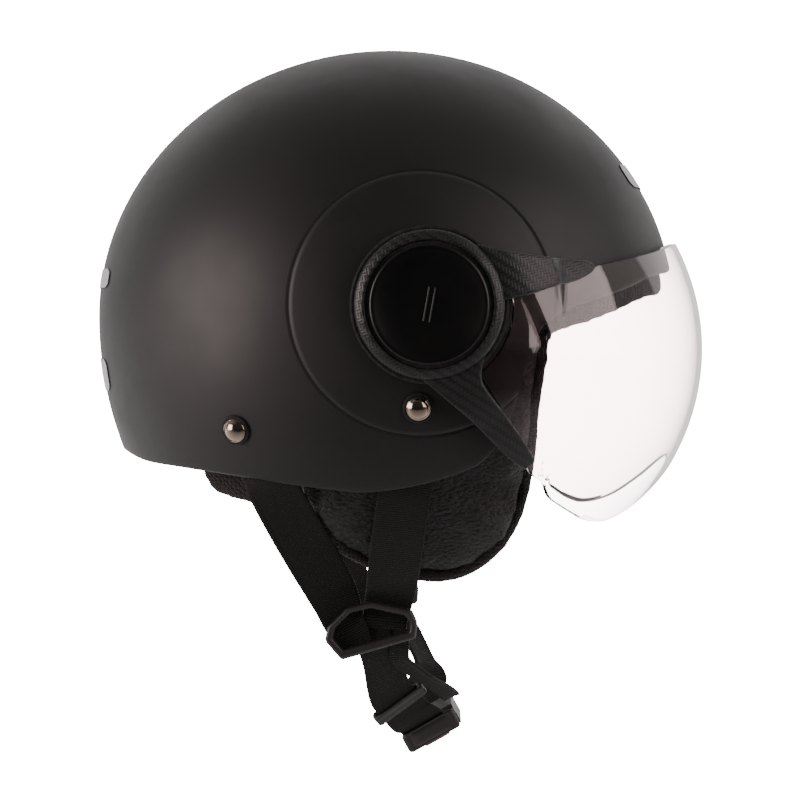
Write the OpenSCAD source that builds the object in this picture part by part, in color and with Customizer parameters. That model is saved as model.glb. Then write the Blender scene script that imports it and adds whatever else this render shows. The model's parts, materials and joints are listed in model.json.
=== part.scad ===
// Open face motorcycle helmet with a lifting bubble visor.
// Frame: origin on the visor's pivot axis at the middle of the head cavity,
// +X forward, +Y to the wearer's left, +Z up. Millimetres.

/* [Shell] */
// Shell's half length behind its centre
shell_back = 142; // [138:0.5:146]
// Shell's half length ahead of its centre
shell_front = 138.5; // [136:0.5:142]
// Shell's half width
shell_half_w = 122; // [120:0.5:122]
// Shell's height above its centre
shell_top = 129.5; // [126:0.5:134]
// Wall of the moulded shell
shell_wall = 4; // [3.5:0.1:4.2]
// Height of the raised disc round each pivot
disc_lift = 1.8; // [1:0.1:1.8]
// Radius of the raised disc round each pivot
disc_r = 59; // [54:0.5:60]

/* [Linings] */
// Thickness of the foam liner
foam_t = 22; // [16:1:24]
// Thickness of the padded comfort liner
pad_t = 6; // [4:0.5:8]
// How far the brow band hangs below the shell's rim
brow_drop = 8; // [6:0.5:9]

/* [Visor] */
// Thickness of the clear lens
lens_t = 2.4; // [2:0.1:2.4]
// Lens bubble's half width
lens_half_w = 129; // [128.5:0.5:131]
// Thickness of each carbon arm
arm_t = 3.4; // [3:0.1:4]

/* [Pivot] */
// Radius of the arm's ring
ring_r = 35; // [34.5:0.1:35.5]
// Radius of the hub that the ring turns on
hub_r = 28; // [27.9:0.1:28.1]
// Radius of the coin slot cap
cap_r = 26.4; // [26:0.1:27.3]
// Running gap between hub and ring, and between cap and hub
run_gap = 0.06; // [0.03:0.01:0.09]

/* [Straps] */
// Width of the webbing
web_w = 24; // [22:0.5:25]
// Thickness of the webbing
web_t = 1.4; // [1.2:0.1:1.5]

/* [Hidden] */
$fn = 64;

// Centre of the shell's form and its half height below that centre
shell_c = [-19, 0, -5];
shell_low = 159;
// Centre of the raised disc, ahead and up
disc_c = [-3.6, 0.8];
// Gap between shell and foam, where the straps run
foam_gap = 3.2;
// Lens bubble: half length, half height and height of its centre
lens_long = 133;
lens_high = 119.4;
lens_z = -21;
// Depth of the step from the bubble to the side flange
flange_step = 3;
// Radius of the lens' rear edge about the pivot
lens_rear_r = 37.5;
// Pivot stack, measured outward from the middle plane
plate_face = 124.8;
washer_face = 125.7;
ring_base = 125.9;
ring_face = 131.5;
hub_face = 130;
hub_floor = 127;
cap_base = 130.3;
cap_face = 133;
socket_r = 10;
screw_r = 3;
// Rivets: where each right-hand one meets the shell
rivet_spots = [[-5, -45.2], [-86.9, -56.2]];
rivet_r = 2.6;
// Buckle: centre and tilt about the wearer's left-right axis
buckle_c = [0.3, 0, -202.6];
buckle_tilt = -29.3;
// Slider's inner and outer face, measured outward
slider_in = 68;
slider_out = 73.5;

// Shell rim from brow to nape: [degrees from straight ahead, height]
rim = [
  [0, 16.5], [12, 15.8], [23, 13.3], [33, 7.8], [42, 2.8], [50, -1.9], [55, -8],
  [57.4, -14], [59.5, -25], [61, -36], [62.5, -50], [64.8, -63.5], [68, -71.5],
  [72, -75.5], [79, -80], [87, -83.2], [96, -85], [105, -83.5], [113, -81.8],
  [122, -79.5], [131, -77.5], [143, -75.5], [156, -74], [168, -71], [180, -70]
];

// ---- small helpers -------------------------------------------------------
function mix(a, b, t) = a * (1 - t) + b * t;
function ease(v, lo, hi) = let (t = min(1, max(0, (v - lo) / (hi - lo)))) t * t * (3 - 2 * t);
function unit(v) = v / norm(v);
function flat_list(rows) = [for (row = rows) each row];

// Great-circle step from direction a to direction b
function slerp(a, b, t) = let (w = acos(a * b)) (sin((1 - t) * w) * a + sin(t * w) * b) / sin(w);

// Builds on the wearer's right and mirrors for the left
module side(name) {
  if (name == "left") mirror([0, 1, 0]) children();
  else children();
}

// Local Z points outward from the right side, local X ahead and local Y up
module outward() {
  rotate([90, 0, 0]) children();
}

// Closed skin over rows of points, from a first pole to a last pole
module poled_skin(first, rows, last) {
  n = len(rows[0]);
  m = len(rows);
  polyhedron(
    points = concat([first], flat_list(rows), [last]),
    faces = concat(
      [for (i = [0 : n - 1]) [0, 1 + (i + 1) % n, 1 + i]],
      [for (j = [0 : m - 2], i = [0 : n - 1], half = [0, 1])
        let (a = 1 + j * n + i, b = 1 + j * n + (i + 1) % n)
        half == 0 ? [a, b, b + n] : [a, b + n, a + n]],
      [for (i = [0 : n - 1]) [1 + (m - 1) * n + i, 1 + (m - 1) * n + (i + 1) % n, 1 + m * n]]
    )
  );
}

// Closed skin over rows of section loops; in a loop, point k faces point n-1-k
module loft(rows) {
  n = len(rows[0]);
  m = len(rows);
  h = n / 2;
  e = (m - 1) * n;
  polyhedron(
    points = flat_list(rows),
    faces = concat(
      [for (j = [0 : m - 2], i = [0 : n - 1], half = [0, 1])
        let (a = j * n + i, b = j * n + (i + 1) % n)
        half == 0 ? [a, b, b + n] : [a, b + n, a + n]],
      [for (k = [0 : h - 2], half = [0, 1])
        half == 0 ? [k, n - 2 - k, k + 1] : [k, n - 1 - k, n - 2 - k]],
      [for (k = [0 : h - 2], half = [0, 1])
        half == 0 ? [e + k, e + k + 1, e + n - 2 - k] : [e + k, e + n - 2 - k, e + n - 1 - k]]
    )
  );
}

// Webbing: a flat section swept along stops of [point, direction across]
module ribbon(stops, w = web_w, t = web_t) {
  last = len(stops) - 1;
  loft([for (k = [0 : last])
    let (ahead = unit(stops[min(k + 1, last)][0] - stops[max(k - 1, 0)][0]),
         across = unit(stops[k][1] - (stops[k][1] * ahead) * ahead),
         up = cross(across, ahead),
         p = stops[k][0])
    [p + across * w / 2 + up * t / 2, p - across * w / 2 + up * t / 2,
     p - across * w / 2 - up * t / 2, p + across * w / 2 - up * t / 2]]);
}

// ---- shell form ----------------------------------------------------------
// Half lengths of the shell's form in the octant of direction u
function shell_axes(u, off) = [
  (u.x < 0 ? shell_back : shell_front) + off, shell_half_w + off, (u.z < 0 ? shell_low : shell_top) + off
];

// Point on the shell's form in direction u from its centre, off outside it
function on_shell(u, off) =
  let (a = shell_axes(u, off)) shell_c + u / norm([u.x / a.x, u.y / a.y, u.z / a.z]);

// Direction of the point of the form at a bearing and a height
function shell_dir(az, z) =
  let (a = shell_axes([cos(az), sin(az), z - shell_c.z], 0), dz = z - shell_c.z,
       r = sqrt(1 - pow(dz / a.z, 2)) / norm([cos(az) / a.x, sin(az) / a.y]))
  unit([r * cos(az), r * sin(az), dz]);

// Distance of the form from the middle plane at (x, z)
function shell_y(x, z, off) =
  let (d = [x - shell_c.x, z - shell_c.z], a = shell_axes([d.x, 1, d.y], off))
  a.y * sqrt(max(0, 1 - pow(d.x / a.x, 2) - pow(d.y / a.z, 2)));

// Outward normal of the form at (x, z) on the right side
function shell_normal(x, z) =
  let (d = [x - shell_c.x, -shell_y(x, z, 0), z - shell_c.z], a = shell_axes(d, 0))
  unit([d.x / pow(a.x, 2), d.y / pow(a.y, 2), d.z / pow(a.z, 2)]);

// Height of the raised disc over the form at p
function lift(p) = disc_lift * (1 - ease(norm([p.x - disc_c.x, p.z - disc_c.y]), disc_r - 3, disc_r + 3));

// Rim height at a bearing, the same on both sides
function rim_z(az) = lookup(abs(az > 180 ? az - 360 : az), rim);

// Bearings of the rim's points, once round
rim_az = concat([for (p = rim) p[0]], [for (k = [len(rim) - 2 : -1 : 1]) 360 - rim[k][0]]);
pole = [0, 0, 1];

// Skin between two offsets of the form, down to the rim raised by a rule
module dome(out_off, in_off, rings, lifts) {
  ends = [for (az = rim_az) shell_dir(az, rim_z(az) + lifts(az))];
  outer = [for (j = [1 : rings]) [for (u = ends) on_shell(slerp(pole, u, j / rings), out_off)]];
  inner = [for (j = [rings : -1 : 1]) [for (u = ends) on_shell(slerp(pole, u, j / rings), in_off)]];
  poled_skin(on_shell(pole, out_off), concat(outer, inner), on_shell(pole, in_off));
}

// Bearing measured from straight ahead, 0 to 180
function turn(az) = abs(az > 180 ? az - 360 : az);
// The foam ends above the brow band and the cheek pads
foam_lift = function (az)
  let (a = turn(az)) a < 50 ? 14 : a < 58 ? 18 : a < 135 ? -38 - rim_z(az) : 9;
liner_lift = function (az) foam_lift(az) + 3;

module outer_shell() {
  rings = 22;
  ends = [for (az = rim_az) shell_dir(az, rim_z(az))];
  outer = [for (j = [1 : rings]) [for (u = ends)
    let (d = slerp(pole, u, j / rings)) on_shell(d, lift(on_shell(d, 0)))]];
  inner = [for (j = [rings : -1 : 1]) [for (u = ends) on_shell(slerp(pole, u, j / rings), -shell_wall)]];
  color("#1b1a1a") difference() {
    poled_skin(on_shell(pole, 0), concat(outer, inner), on_shell(pole, -shell_wall));
    for (s = ["right", "left"]) side(s) {
      outward() cylinder(r = screw_r + 0.3, h = 140);
      for (spot = rivet_spots) at_rivet(spot) cylinder(r = rivet_r + 0.2, h = 24, center = true);
    }
  }
}

module eps_liner() {
  color("#3c3c3e") difference() {
    dome(-shell_wall - foam_gap, -shell_wall - foam_gap - foam_t, 12, foam_lift);
    for (s = ["right", "left"]) side(s) outward() translate([0, 0, 98]) cylinder(r = 10.5, h = 30);
  }
}

module comfort_liner() {
  from = -shell_wall - foam_gap - foam_t - 1.7;
  color("#202022") dome(from, from - pad_t, 12, liner_lift);
}

// Band of padding along the rim from bearing a to bearing b; what hangs below the rim changes by drop_gain
module rim_band(a, b, steps, top, drop, out_off, in_off, drop_gain = 0) {
  loft([for (k = [0 : steps])
    let (az = mix(a, b, k / steps), z = rim_z(az), hi = shell_dir(az, z + top),
         lo = shell_dir(az, z - drop - drop_gain * k / steps))
    [on_shell(hi, out_off), on_shell(hi, in_off),
     on_shell(lo, in_off + 1.5), on_shell(lo, out_off - 1.5)]]);
}

module brow_band() {
  color("#262424") rim_band(-54, 54, 32, 8, brow_drop, -shell_wall - 2, -shell_wall - 11);
}

module neck_roll() {
  color("#222020") rim_band(150, 210, 20, 6, 4, -shell_wall - 4, -shell_wall - 18);
}

module nape_pad() {
  color("#241d1b") rim_band(217, 242, 8, 3.5, 10, -shell_wall - 4.5, -shell_wall - 15, 7);
}

module nape_pad_right() { side("right") nape_pad(); }
module nape_pad_left() { side("left") nape_pad(); }

// ---- cheek pads ----------------------------------------------------------
// Outline of a cheek pad, ahead and up, from the temple down the front and back up
pad_outline = [
  [50, -20], [46, -44], [44, -68], [41, -88], [33.5, -105], [20, -118.5], [5, -123.5], [-12, -121.5],
  [-28, -116.5], [-44, -105], [-55, -84], [-56, -62], [-48, -50], [-25, -44], [10, -43], [36, -43]
];
pad_mid = [-2, -78];
pad_in = 66;
pad_out = 92;

pad_free = -84;
pad_slope = 0.55;

// How far out the pad may reach: inside the shell, and clear of the straps below its rim
function pad_limit(x, z, off) = min(shell_y(x, max(z, pad_free), off),
  pad_out - pad_slope * max(0, pad_free - 6 - z));

// Pad outline at a distance out and shrunk by an amount
function pad_row(y, k) = [for (p = pad_outline)
  let (q = mix(pad_mid, p, k)) [q.x, -min(y, pad_limit(q.x, q.y, -10)), q.y]];

module cheek_pad() {
  mid = [pad_mid.x, 0, pad_mid.y];
  color("#1d1b1b") poled_skin(
    mid - [0, pad_in - 1, 0],
    [pad_row(pad_in, 0.86), pad_row(pad_in + 4, 0.96), pad_row(pad_in + 12, 1),
     pad_row(pad_out - 8, 1), pad_row(pad_out - 2, 0.95), pad_row(pad_out, 0.85)],
    mid - [0, pad_out, 0]
  );
}

module cheek_pad_right() { side("right") cheek_pad(); }
module cheek_pad_left() { side("left") cheek_pad(); }

// Corded edge that follows the pad's visible outline
module cheek_piping() {
  r = 2.1;
  path = [for (k = [0 : 10]) let (p = mix(pad_mid, pad_outline[k], 1.045)) [p.x, p.y]];
  last = len(path) - 1;
  color("#2a1f1c") loft([for (k = [0 : last])
    let (t = unit(path[min(k + 1, last)] - path[max(k - 1, 0)]), s = [t.y, -t.x])
    [for (a = [22.5 : 45 : 359])
      let (c = path[k] + s * (r * cos(a) - 0.4), y = min(pad_out - 6, pad_limit(c.x, c.y, -12) - 6))
      [c.x, -y - r * sin(a), c.y]]]);
}

module cheek_piping_right() { side("right") cheek_piping(); }
module cheek_piping_left() { side("left") cheek_piping(); }

// ---- pivots --------------------------------------------------------------
// Spacer that fills from the curved shell to the flat pivot face
module pivot_plate() {
  n = 40;
  radii = [screw_r + 0.2, 12, 22, 33];
  function low(r, i) =
    let (x = r * cos(i * 360 / n), z = r * sin(i * 360 / n), p = [x, 0, z])
    [x, -shell_y(x, z, lift(p)) - 0.35, z];
  function high(r, i) = [r * cos(i * 360 / n), -plate_face, r * sin(i * 360 / n)];
  rings = concat([for (r = radii) [for (i = [0 : n - 1]) low(r, i)]],
                 [for (k = [len(radii) - 1 : -1 : 0]) [for (i = [0 : n - 1]) high(radii[k], i)]]);
  m = len(rings);
  color("#191919") polyhedron(
    points = flat_list(rings),
    faces = [for (j = [0 : m - 1], i = [0 : n - 1], half = [0, 1])
      let (k = (i + 1) % n, up = (j + 1) % m, a = j * n + i, b = j * n + k, c = up * n + k, d = up * n + i)
      half == 0 ? [a, c, b] : [a, d, c]]
  );
}

module pivot_plate_right() { side("right") pivot_plate(); }
module pivot_plate_left() { side("left") pivot_plate(); }

// Turned hub that the visor ring runs on, with a socket for the cap
module pivot_hub() {
  color("#232323") outward() difference() {
    translate([0, 0, plate_face]) cylinder(r = hub_r, h = hub_face - plate_face);
    translate([0, 0, hub_floor]) cylinder(r = socket_r, h = 10);
    translate([0, 0, 120]) cylinder(r = screw_r + 0.2, h = 10);
  }
}

module pivot_hub_right() { side("right") pivot_hub(); }
module pivot_hub_left() { side("left") pivot_hub(); }

module pivot_screws() {
  color("silver") for (s = ["right", "left"]) side(s) outward() difference() {
    union() {
      translate([0, 0, 108]) cylinder(r = screw_r, h = hub_floor - 108 + 1);
      translate([0, 0, hub_floor]) cylinder(r = 5.4, h = 2.6);
    }
    translate([0, 0, hub_floor + 1.2]) cylinder(r = 2.3, h = 4, $fn = 6);
  }
}

// Flanged nuts behind the shell, in pockets of the foam
module pivot_nuts() {
  color("silver") for (s = ["right", "left"]) side(s) outward() difference() {
    union() {
      translate([0, 0, 106]) cylinder(r = 5, h = 6, $fn = 6);
      translate([0, 0, 112]) cylinder(r = 8, h = 2.4);
    }
    translate([0, 0, 100]) cylinder(r = screw_r + 0.05, h = 20);
  }
}

module wave_washer() {
  color("silver") outward() difference() {
    translate([0, 0, plate_face + 0.05]) cylinder(r = 32, h = washer_face - plate_face - 0.05);
    translate([0, 0, 120]) cylinder(r = hub_r + 0.3, h = 10);
  }
}

module wave_washer_right() { side("right") wave_washer(); }
module wave_washer_left() { side("left") wave_washer(); }

// Dished cap with a raised rim, a coin slot and a hollow spigot
module pivot_cap() {
  spigot = socket_r - run_gap;
  color("#141414") outward() difference() {
    rotate_extrude() polygon([
      [6.2, hub_floor + 0.4], [spigot, hub_floor + 0.4], [spigot, cap_base], [cap_r, cap_base],
      [cap_r, cap_face - 0.9], [cap_r - 0.9, cap_face], [cap_r - 2.4, cap_face], [cap_r - 6, cap_face - 0.7],
      [0, cap_face - 1], [0, cap_base + 0.5], [6.2, cap_base + 0.5]
    ]);
    rotate([0, 0, 80]) for (y = [-1.5, 1.5]) translate([-8, y - 0.35, cap_face - 1.5]) cube([16, 0.7, 3]);
  }
}

module pivot_cap_right() { side("right") pivot_cap(); }
module pivot_cap_left() { side("left") pivot_cap(); }

// ---- visor ---------------------------------------------------------------
// Point of the lens bubble at a bearing and a height
function bubble(az, z, off) =
  let (q = sqrt(max(0, 1 - pow((z - lens_z) / (lens_high + off), 2))),
       r = q / norm([cos(az) / (lens_long + off), sin(az) / (lens_half_w + off)]))
  [r * cos(az), r * sin(az), z];

// Edge between bubble and side flange, ahead of the pivot, at a height
function crease_x(z) = 54 - pow(z + 42, 2) / (z > -42 ? 170 : 400);

// Least distance out that clears the shell at a radius from the pivot
function clear_y(r) = 120.6 - 0.3 * (min(r, 58) - 37) - 2.2 * max(0, r - 58);

// Distance out of the lens' outer face at (x, z), from the bubble's own distance
function face_y(x, z, y) =
  max(y - flange_step * (1 - ease(x - crease_x(z), -4, 3)) * ease(40 - z, 0, 30), clear_y(norm([x, z])));

function on_lens(az, z, off) =
  let (p = bubble(az, z, off), y = abs(p.y), out = abs(az) < 40 ? y : face_y(p.x, z, y - off) + off)
  [p.x, sign(az) * out, z];

// Lens' outer face over the point (x, z) of the side
function lens_y(x, z) =
  let (y = lens_half_w * sqrt(max(0, 1 - pow(x / lens_long, 2) - pow((z - lens_z) / lens_high, 2))))
  face_y(x, z, y);

// Heights of the lens' top and bottom edges by bearing
lens_top = [[0, 30.4], [16, 29], [32, 24.5], [46, 20], [56, 16], [64, 13], [73, 3.4]];
lens_bottom = [
  [0, -73.5], [8, -77], [16, -87], [24, -96.5], [33, -101], [42, -99.5], [50, -95], [56, -90.5],
  [60, -86.5], [63, -80], [67.5, -73.5], [73, -54], [80, -31]
];

// Bearing of the lens' rear edge at a height
function rear_az(z) =
  let (x = sqrt(lens_rear_r * lens_rear_r - z * z),
       y = lens_half_w * sqrt(1 - pow(x / lens_long, 2) - pow((z - lens_z) / lens_high, 2)))
  atan2(y, x);

// Point of the lens: s runs from the right rear edge, -1, to the left one, 1
function lens_grid(s, v, off) =
  let (az = abs(s) * rear_az(mix(3.4, -31, v)),
       top = lookup(abs(s) * rear_az(3.4), lens_top), low = lookup(abs(s) * rear_az(-31), lens_bottom))
  on_lens(s < 0 ? -az : az, mix(top, low, v), off);

module visor_lens() {
  cols = 24;
  tall = 11;
  color("#e8e4ea", 0.4) difference() {
    loft([for (i = [-cols : cols]) let (s = i / cols) concat(
      [for (v = [0 : tall]) lens_grid(s, v / tall, -lens_t)],
      [for (v = [tall : -1 : 0]) lens_grid(s, v / tall, 0)]
    )]);
    for (s = ["right", "left"]) side(s) outward() for (p = arm_screws)
      translate([p.x, p.y, 100]) cylinder(r = 1.6, h = 30);
  }
}

// Where each arm's two screws are, ahead and up
arm_screws = [[47, 13], [27, -47]];

// Inner and outer faces of the arm: level with the ring at the hub, on the lens further out
function arm_low(x, z) =
  let (r = norm([x, z])) mix(ring_base + 0.35, lens_y(x, z) + 0.7, ease(r, 35.2, 38.5));
function arm_high(x, z) =
  let (r = norm([x, z])) mix(ring_face - 3.2, lens_y(x, z) + 0.7 + arm_t, ease(r, 34, 44));

// An arm through stations of [upper edge, lower edge]
module arm(stations) {
  across = 4;
  loft([for (st = stations) concat(
    [for (k = [0 : across]) let (p = mix(st[0], st[1], k / across)) [p.x, -arm_low(p.x, p.y), p.y]],
    [for (k = [across : -1 : 0]) let (p = mix(st[0], st[1], k / across)) [p.x, -arm_high(p.x, p.y), p.y]]
  )]);
}

upper_arm = [
  [[18, 26.5], [30, -4]], [[21, 26.1], [34.4, -1]], [[24, 25.8], [38, 1.5]], [[31, 24.3], [43, 3.6]],
  [[42, 22.6], [50, 6.3]],
  [[52, 21.3], [58, 8.9]], [[62, 20.4], [66, 11.6]], [[70, 19.8], [72, 14]], [[73.5, 18.8], [74, 17]]
];
lower_arm = [
  [[25, -18], [-4, -31.5]], [[22.6, -28], [3, -37]], [[24, -35.5], [12, -45.5]], [[29, -42], [18, -51]],
  [[35, -50], [25, -58]], [[40.4, -58], [31.4, -64.6]], [[45, -66], [38, -71]], [[47.4, -70.5], [42.4, -74]]
];

module visor_arm() {
  color("#2b2b2d") difference() {
    union() {
      outward() rotate_extrude() polygon([
        [hub_r + run_gap, ring_base], [ring_r, ring_base], [ring_r, ring_base + 0.8],
        [ring_r - 1.6, ring_face - 3], [ring_r - 2.3, ring_face - 1.95], [hub_r + 0.8, ring_face],
        [hub_r + run_gap, ring_face - 0.9]
      ]);
      difference() {
        union() {
          arm(upper_arm);
          arm(lower_arm);
        }
        outward() cylinder(r = (hub_r + ring_r) / 2, h = 140);
      }
    }
    outward() for (p = arm_screws) translate([p.x, p.y, 100]) cylinder(r = 1.3, h = lens_y(p.x, p.y) - 97);
  }
}

module visor_arm_right() { side("right") visor_arm(); }
module visor_arm_left() { side("left") visor_arm(); }

// Screws that hold the lens to the arms, from inside
module visor_screws() {
  color("silver") for (s = ["right", "left"]) side(s) outward() for (p = arm_screws)
    translate([p.x, p.y, lens_y(p.x, p.y) - lens_t - 0.6]) cylinder(r = 1.25, h = lens_t + 3);
}

// ---- strap anchors -------------------------------------------------------
// Places children at a right-hand rivet with local Z along the shell's normal
module at_rivet(spot) {
  n = shell_normal(spot.x, spot.y);
  translate([spot.x, -shell_y(spot.x, spot.y, 0), spot.y])
    rotate([0, acos(n.z), atan2(n.y, n.x)]) children();
}

module strap_rivets() {
  color("silver") for (s = ["right", "left"], spot = rivet_spots) side(s) at_rivet(spot) {
    up = lift_at(spot);
    rotate_extrude() polygon([
      [0, -9], [rivet_r, -9], [rivet_r, 1.4 + up], [5.5, 1.4 + up],
      [5.1, 2.6 + up], [3.8, 3.7 + up], [2, 4.2 + up], [0, 4.4 + up]
    ]);
  }
}

// Height of the raised disc under a rivet
function lift_at(spot) = lift([spot.x, 0, spot.y]);

module rivet_washers() {
  color("#101010") for (s = ["right", "left"], spot = rivet_spots) side(s) at_rivet(spot)
    translate([0, 0, lift_at(spot) + 0.3]) difference() {
      cylinder(r = 7, h = 1);
      translate([0, 0, -1]) cylinder(r = rivet_r + 0.05, h = 4);
    }
}

// Steel plates that spread each strap's load behind the webbing
module strap_anchor_plates() {
  color("silver") for (s = ["right", "left"], spot = rivet_spots) side(s) at_rivet(spot)
    translate([0, 0, -8.4]) difference() {
      cylinder(r = 6.5, h = 1.4);
      translate([0, 0, -1]) cylinder(r = rivet_r + 0.05, h = 4);
    }
}

// ---- straps --------------------------------------------------------------
ahead = [1, 0, 0];
rear_across = [0.9, 0, 0.43];

// Stop just inside the shell at (x, z), lying flat on it and running in direction run
function inside(x, z, run) =
  [[x, -shell_y(x, z, -shell_wall - 1.8), z], unit(cross(shell_normal(x, z), run))];

module front_strap() {
  color("#151414") difference() {
    run = [-0.1, 0, -1];
    ribbon([
      inside(-5, -37, run), inside(-5, -46, run), inside(-6.5, -58, run), inside(-8.5, -70, run),
      inside(-10, -80, run), [[-12, -97.5, -90], ahead], [[-14, -91.5, -104], ahead],
      [[-16, -82, -119], ahead], [[-17.3, -73, -128.5], ahead], [[-18.6, -66.3, -135.5], [1, 0, -0.1]],
      [[-20, -65.2, -141.5], [1, 0, -0.15]], [[-21, -65, -146.5], [1, 0, -0.15]]
    ]);
    at_rivet(rivet_spots[0]) cylinder(r = rivet_r + 0.1, h = 30, center = true);
  }
}

module rear_strap() {
  color("#151414") difference() {
    run = [0.5, -0.2, -0.86];
    ribbon([
      inside(-91, -48, run), inside(-87, -56, run), inside(-82, -64, run), inside(-76.5, -73, run),
      [[-71, -95.5, -82], [0.86, -0.25, 0.43]], [[-63, -88, -98], [0.88, -0.12, 0.43]],
      [[-54, -78.5, -115], rear_across], [[-45, -66.5, -132], [0.93, 0, 0.36]],
      [[-41.5, -60.8, -139.5], [0.95, 0, 0.3]], [[-39, -58, -146], [0.97, 0, 0.2]]
    ]);
    at_rivet(rivet_spots[1]) cylinder(r = rivet_r + 0.1, h = 30, center = true);
  }
}

module front_strap_right() { side("right") front_strap(); }
module front_strap_left() { side("left") front_strap(); }
module rear_strap_right() { side("right") rear_strap(); }
module rear_strap_left() { side("left") rear_strap(); }

// Three-bar slider where front and rear straps meet
module strap_slider() {
  frame = [[-47, -148.5], [-38, -139.5], [-27, -136.5], [-8, -140.5], [-5.5, -146], [-6.2, -153.5],
           [-40.5, -163.5], [-48.2, -154.5]];
  window = [[-42, -148.5], [-35.5, -142.8], [-27, -141.2], [-12.5, -144.2], [-10.6, -147], [-11, -149.8],
            [-39.5, -158], [-43, -153.5]];
  color("#161616") outward() translate([0, 0, slider_in]) linear_extrude(slider_out - slider_in)
    difference() {
      polygon(frame);
      polygon(window);
    }
}

module strap_slider_right() { side("right") strap_slider(); }
module strap_slider_left() { side("left") strap_slider(); }

// Chin strap from behind the slider to the middle of the chin
chin_across = [0.93, 0, 0.36];
tip_across = [cos(buckle_tilt), 0, -sin(buckle_tilt)];
strap_end_w = 22;

// Ribbon stop at a point given in the buckle's own frame
function at_buckle_point(p) = [
  let (c = cos(buckle_tilt), s = sin(buckle_tilt)) buckle_c + [p.x * c + p.z * s, p.y, -p.x * s + p.z * c],
  tip_across
];

// Strap end sewn round a bar that spans y0 to y1 and z0 to z1
module bar_loop(y0, y1, z0, z1, w = strap_end_w) {
  gap = 0.15;
  translate([-w / 2, 0, 0]) rotate([90, 0, 90]) linear_extrude(w) difference() {
    translate([y0 - gap - web_t, z0 - gap - web_t])
      square([y1 - y0 + 2 * (gap + web_t), z1 - z0 + 2 * (gap + web_t)]);
    translate([y0 - gap, z0 - gap]) square([y1 - y0 + 2 * gap, z1 - z0 + 2 * gap]);
  }
}

module chin_strap_right() {
  color("#171616") {
    ribbon([
      [[-28, -70.2, -149.2], chin_across], [[-27.5, -67.4, -152.2], chin_across],
      [[-26.3, -63.6, -158], chin_across], [[-24.5, -57.5, -166], chin_across],
      [adjust_at - 11.5 * adjust_dir, adjust_across], [adjust_at, adjust_across],
      [adjust_at + 11 * adjust_dir, adjust_across], at_buckle_point([-3, -29.5, 7.6]),
      at_buckle_point([-1.9, -26.8, 5.4]), at_buckle_point([-1.6, -24.2, 3.6])
    ], w = strap_end_w);
    at_buckle() translate([-1.6, 0, 0]) bar_loop(-24.5, -21.5, -0.5, 2.5);
  }
}

// The left strap turns its edge outward on its way to the tongue
module chin_strap_left() {
  turned = [0.5, 0.8, 0.3];
  color("#171616") {
    ribbon([
      [[-28, 70.2, -149.2], chin_across], [[-27.5, 67.4, -152.2], chin_across],
      [[-25.5, 63.8, -158], chin_across], [[-19.5, 61.2, -164], [0.8, 0.4, 0.4]],
      [[-12, 58.6, -170], turned], [[-6, 56, -176.5], turned], [[-1.4, 53.6, -183.5], turned],
      [[0.6, 51.4, -189.5], [0.7, 0.5, 0.45]], at_buckle_point([1, 49.2, 8.4]),
      at_buckle_point([0.2, 46.8, 5]), at_buckle_point([0, 43.4, 3.1])
    ], w = 20);
    at_buckle() bar_loop(42, 44.5, -1.6, 1.8, 20.8);
  }
}

// Ladder keeper that slides on the straight run of the right chin strap
adjust_at = [-14.1, -39.5, -188.6];
adjust_dir = unit([0.47, 0.6, -0.65]);
adjust_across = [0.81, 0, 0.59];

module strap_adjuster() {
  u = adjust_dir;
  w = unit(adjust_across - (adjust_across * u) * u);
  v = cross(u, w);
  color("#131313") multmatrix([
    [w.x, v.x, u.x, adjust_at.x], [w.y, v.y, u.y, adjust_at.y], [w.z, v.z, u.z, adjust_at.z], [0, 0, 0, 1]
  ]) difference() {
    cube([28, 5, 4], center = true);
    cube([23.2, 2.4, 20], center = true);
  }
}

// ---- buckle --------------------------------------------------------------
// Local X across the strap, Y along the buckle, Z towards the throat
module at_buckle() {
  translate(buckle_c) rotate([0, buckle_tilt, 0]) children();
}

pin_y = 8;
pin_z = -3.7;
pin_r = 1.2;
end_wall = 1.6;
teeth = 9;
tooth = 2.6;

// Housing: tongue channel, lever pocket and strap bar
module buckle_body() {
  color("#121212") at_buckle() difference() {
    union() {
      translate([-14, -17, -6]) cube([28, 36, 10.2]);
      translate([-14, -24.5, -0.5]) cube([28, 8, 3]);
      translate([-14, -28, -6]) cube([28, end_wall, 9.6]);
      for (x = [-14, 12.8]) translate([x, -28, -0.5]) cube([1.2, 4, 3]);
    }
    translate([-10.5, -14, -1.7]) cube([21, 50, 3.7]);
    translate([-9.5, -13, -7]) cube([19, 25.5, 7]);
    translate([-9.5, -18, -7]) cube([19, 12, 4.4]);
    translate([-12.8, -21.5, -2]) cube([25.6, 4.5, 6]);
    translate([-20, pin_y, pin_z]) rotate([0, 90, 0]) cylinder(r = pin_r + 0.02, h = 40);
  }
}

// Lever with a pawl just over the tongue's teeth
module buckle_lever() {
  color("#1d1d1d") at_buckle() difference() {
    union() {
      translate([-9.2, -15, -5.6]) cube([18.4, 23, 2.1]);
      translate([-9.2, pin_y, pin_z]) rotate([0, 90, 0]) cylinder(r = 2.1, h = 18.4);
      translate([-8, -4.2, -3.6]) cube([16, 2.4, 1.95]);
      translate([-9.2, -18.4, -6.6]) cube([18.4, 3.6, 2.4]);
    }
    translate([-20, pin_y, pin_z]) rotate([0, 90, 0]) cylinder(r = pin_r + 0.06, h = 40);
    translate([-3.4, pin_y - 3.2, -9]) cube([6.8, 8, 12]);
    translate([-7, -17.6, -8]) cube([14, 1.4, 6]);
  }
}

module lever_pin() {
  color("silver") at_buckle() translate([-13.3, pin_y, pin_z]) rotate([0, 90, 0])
    cylinder(r = pin_r, h = 26.6);
}

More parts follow.
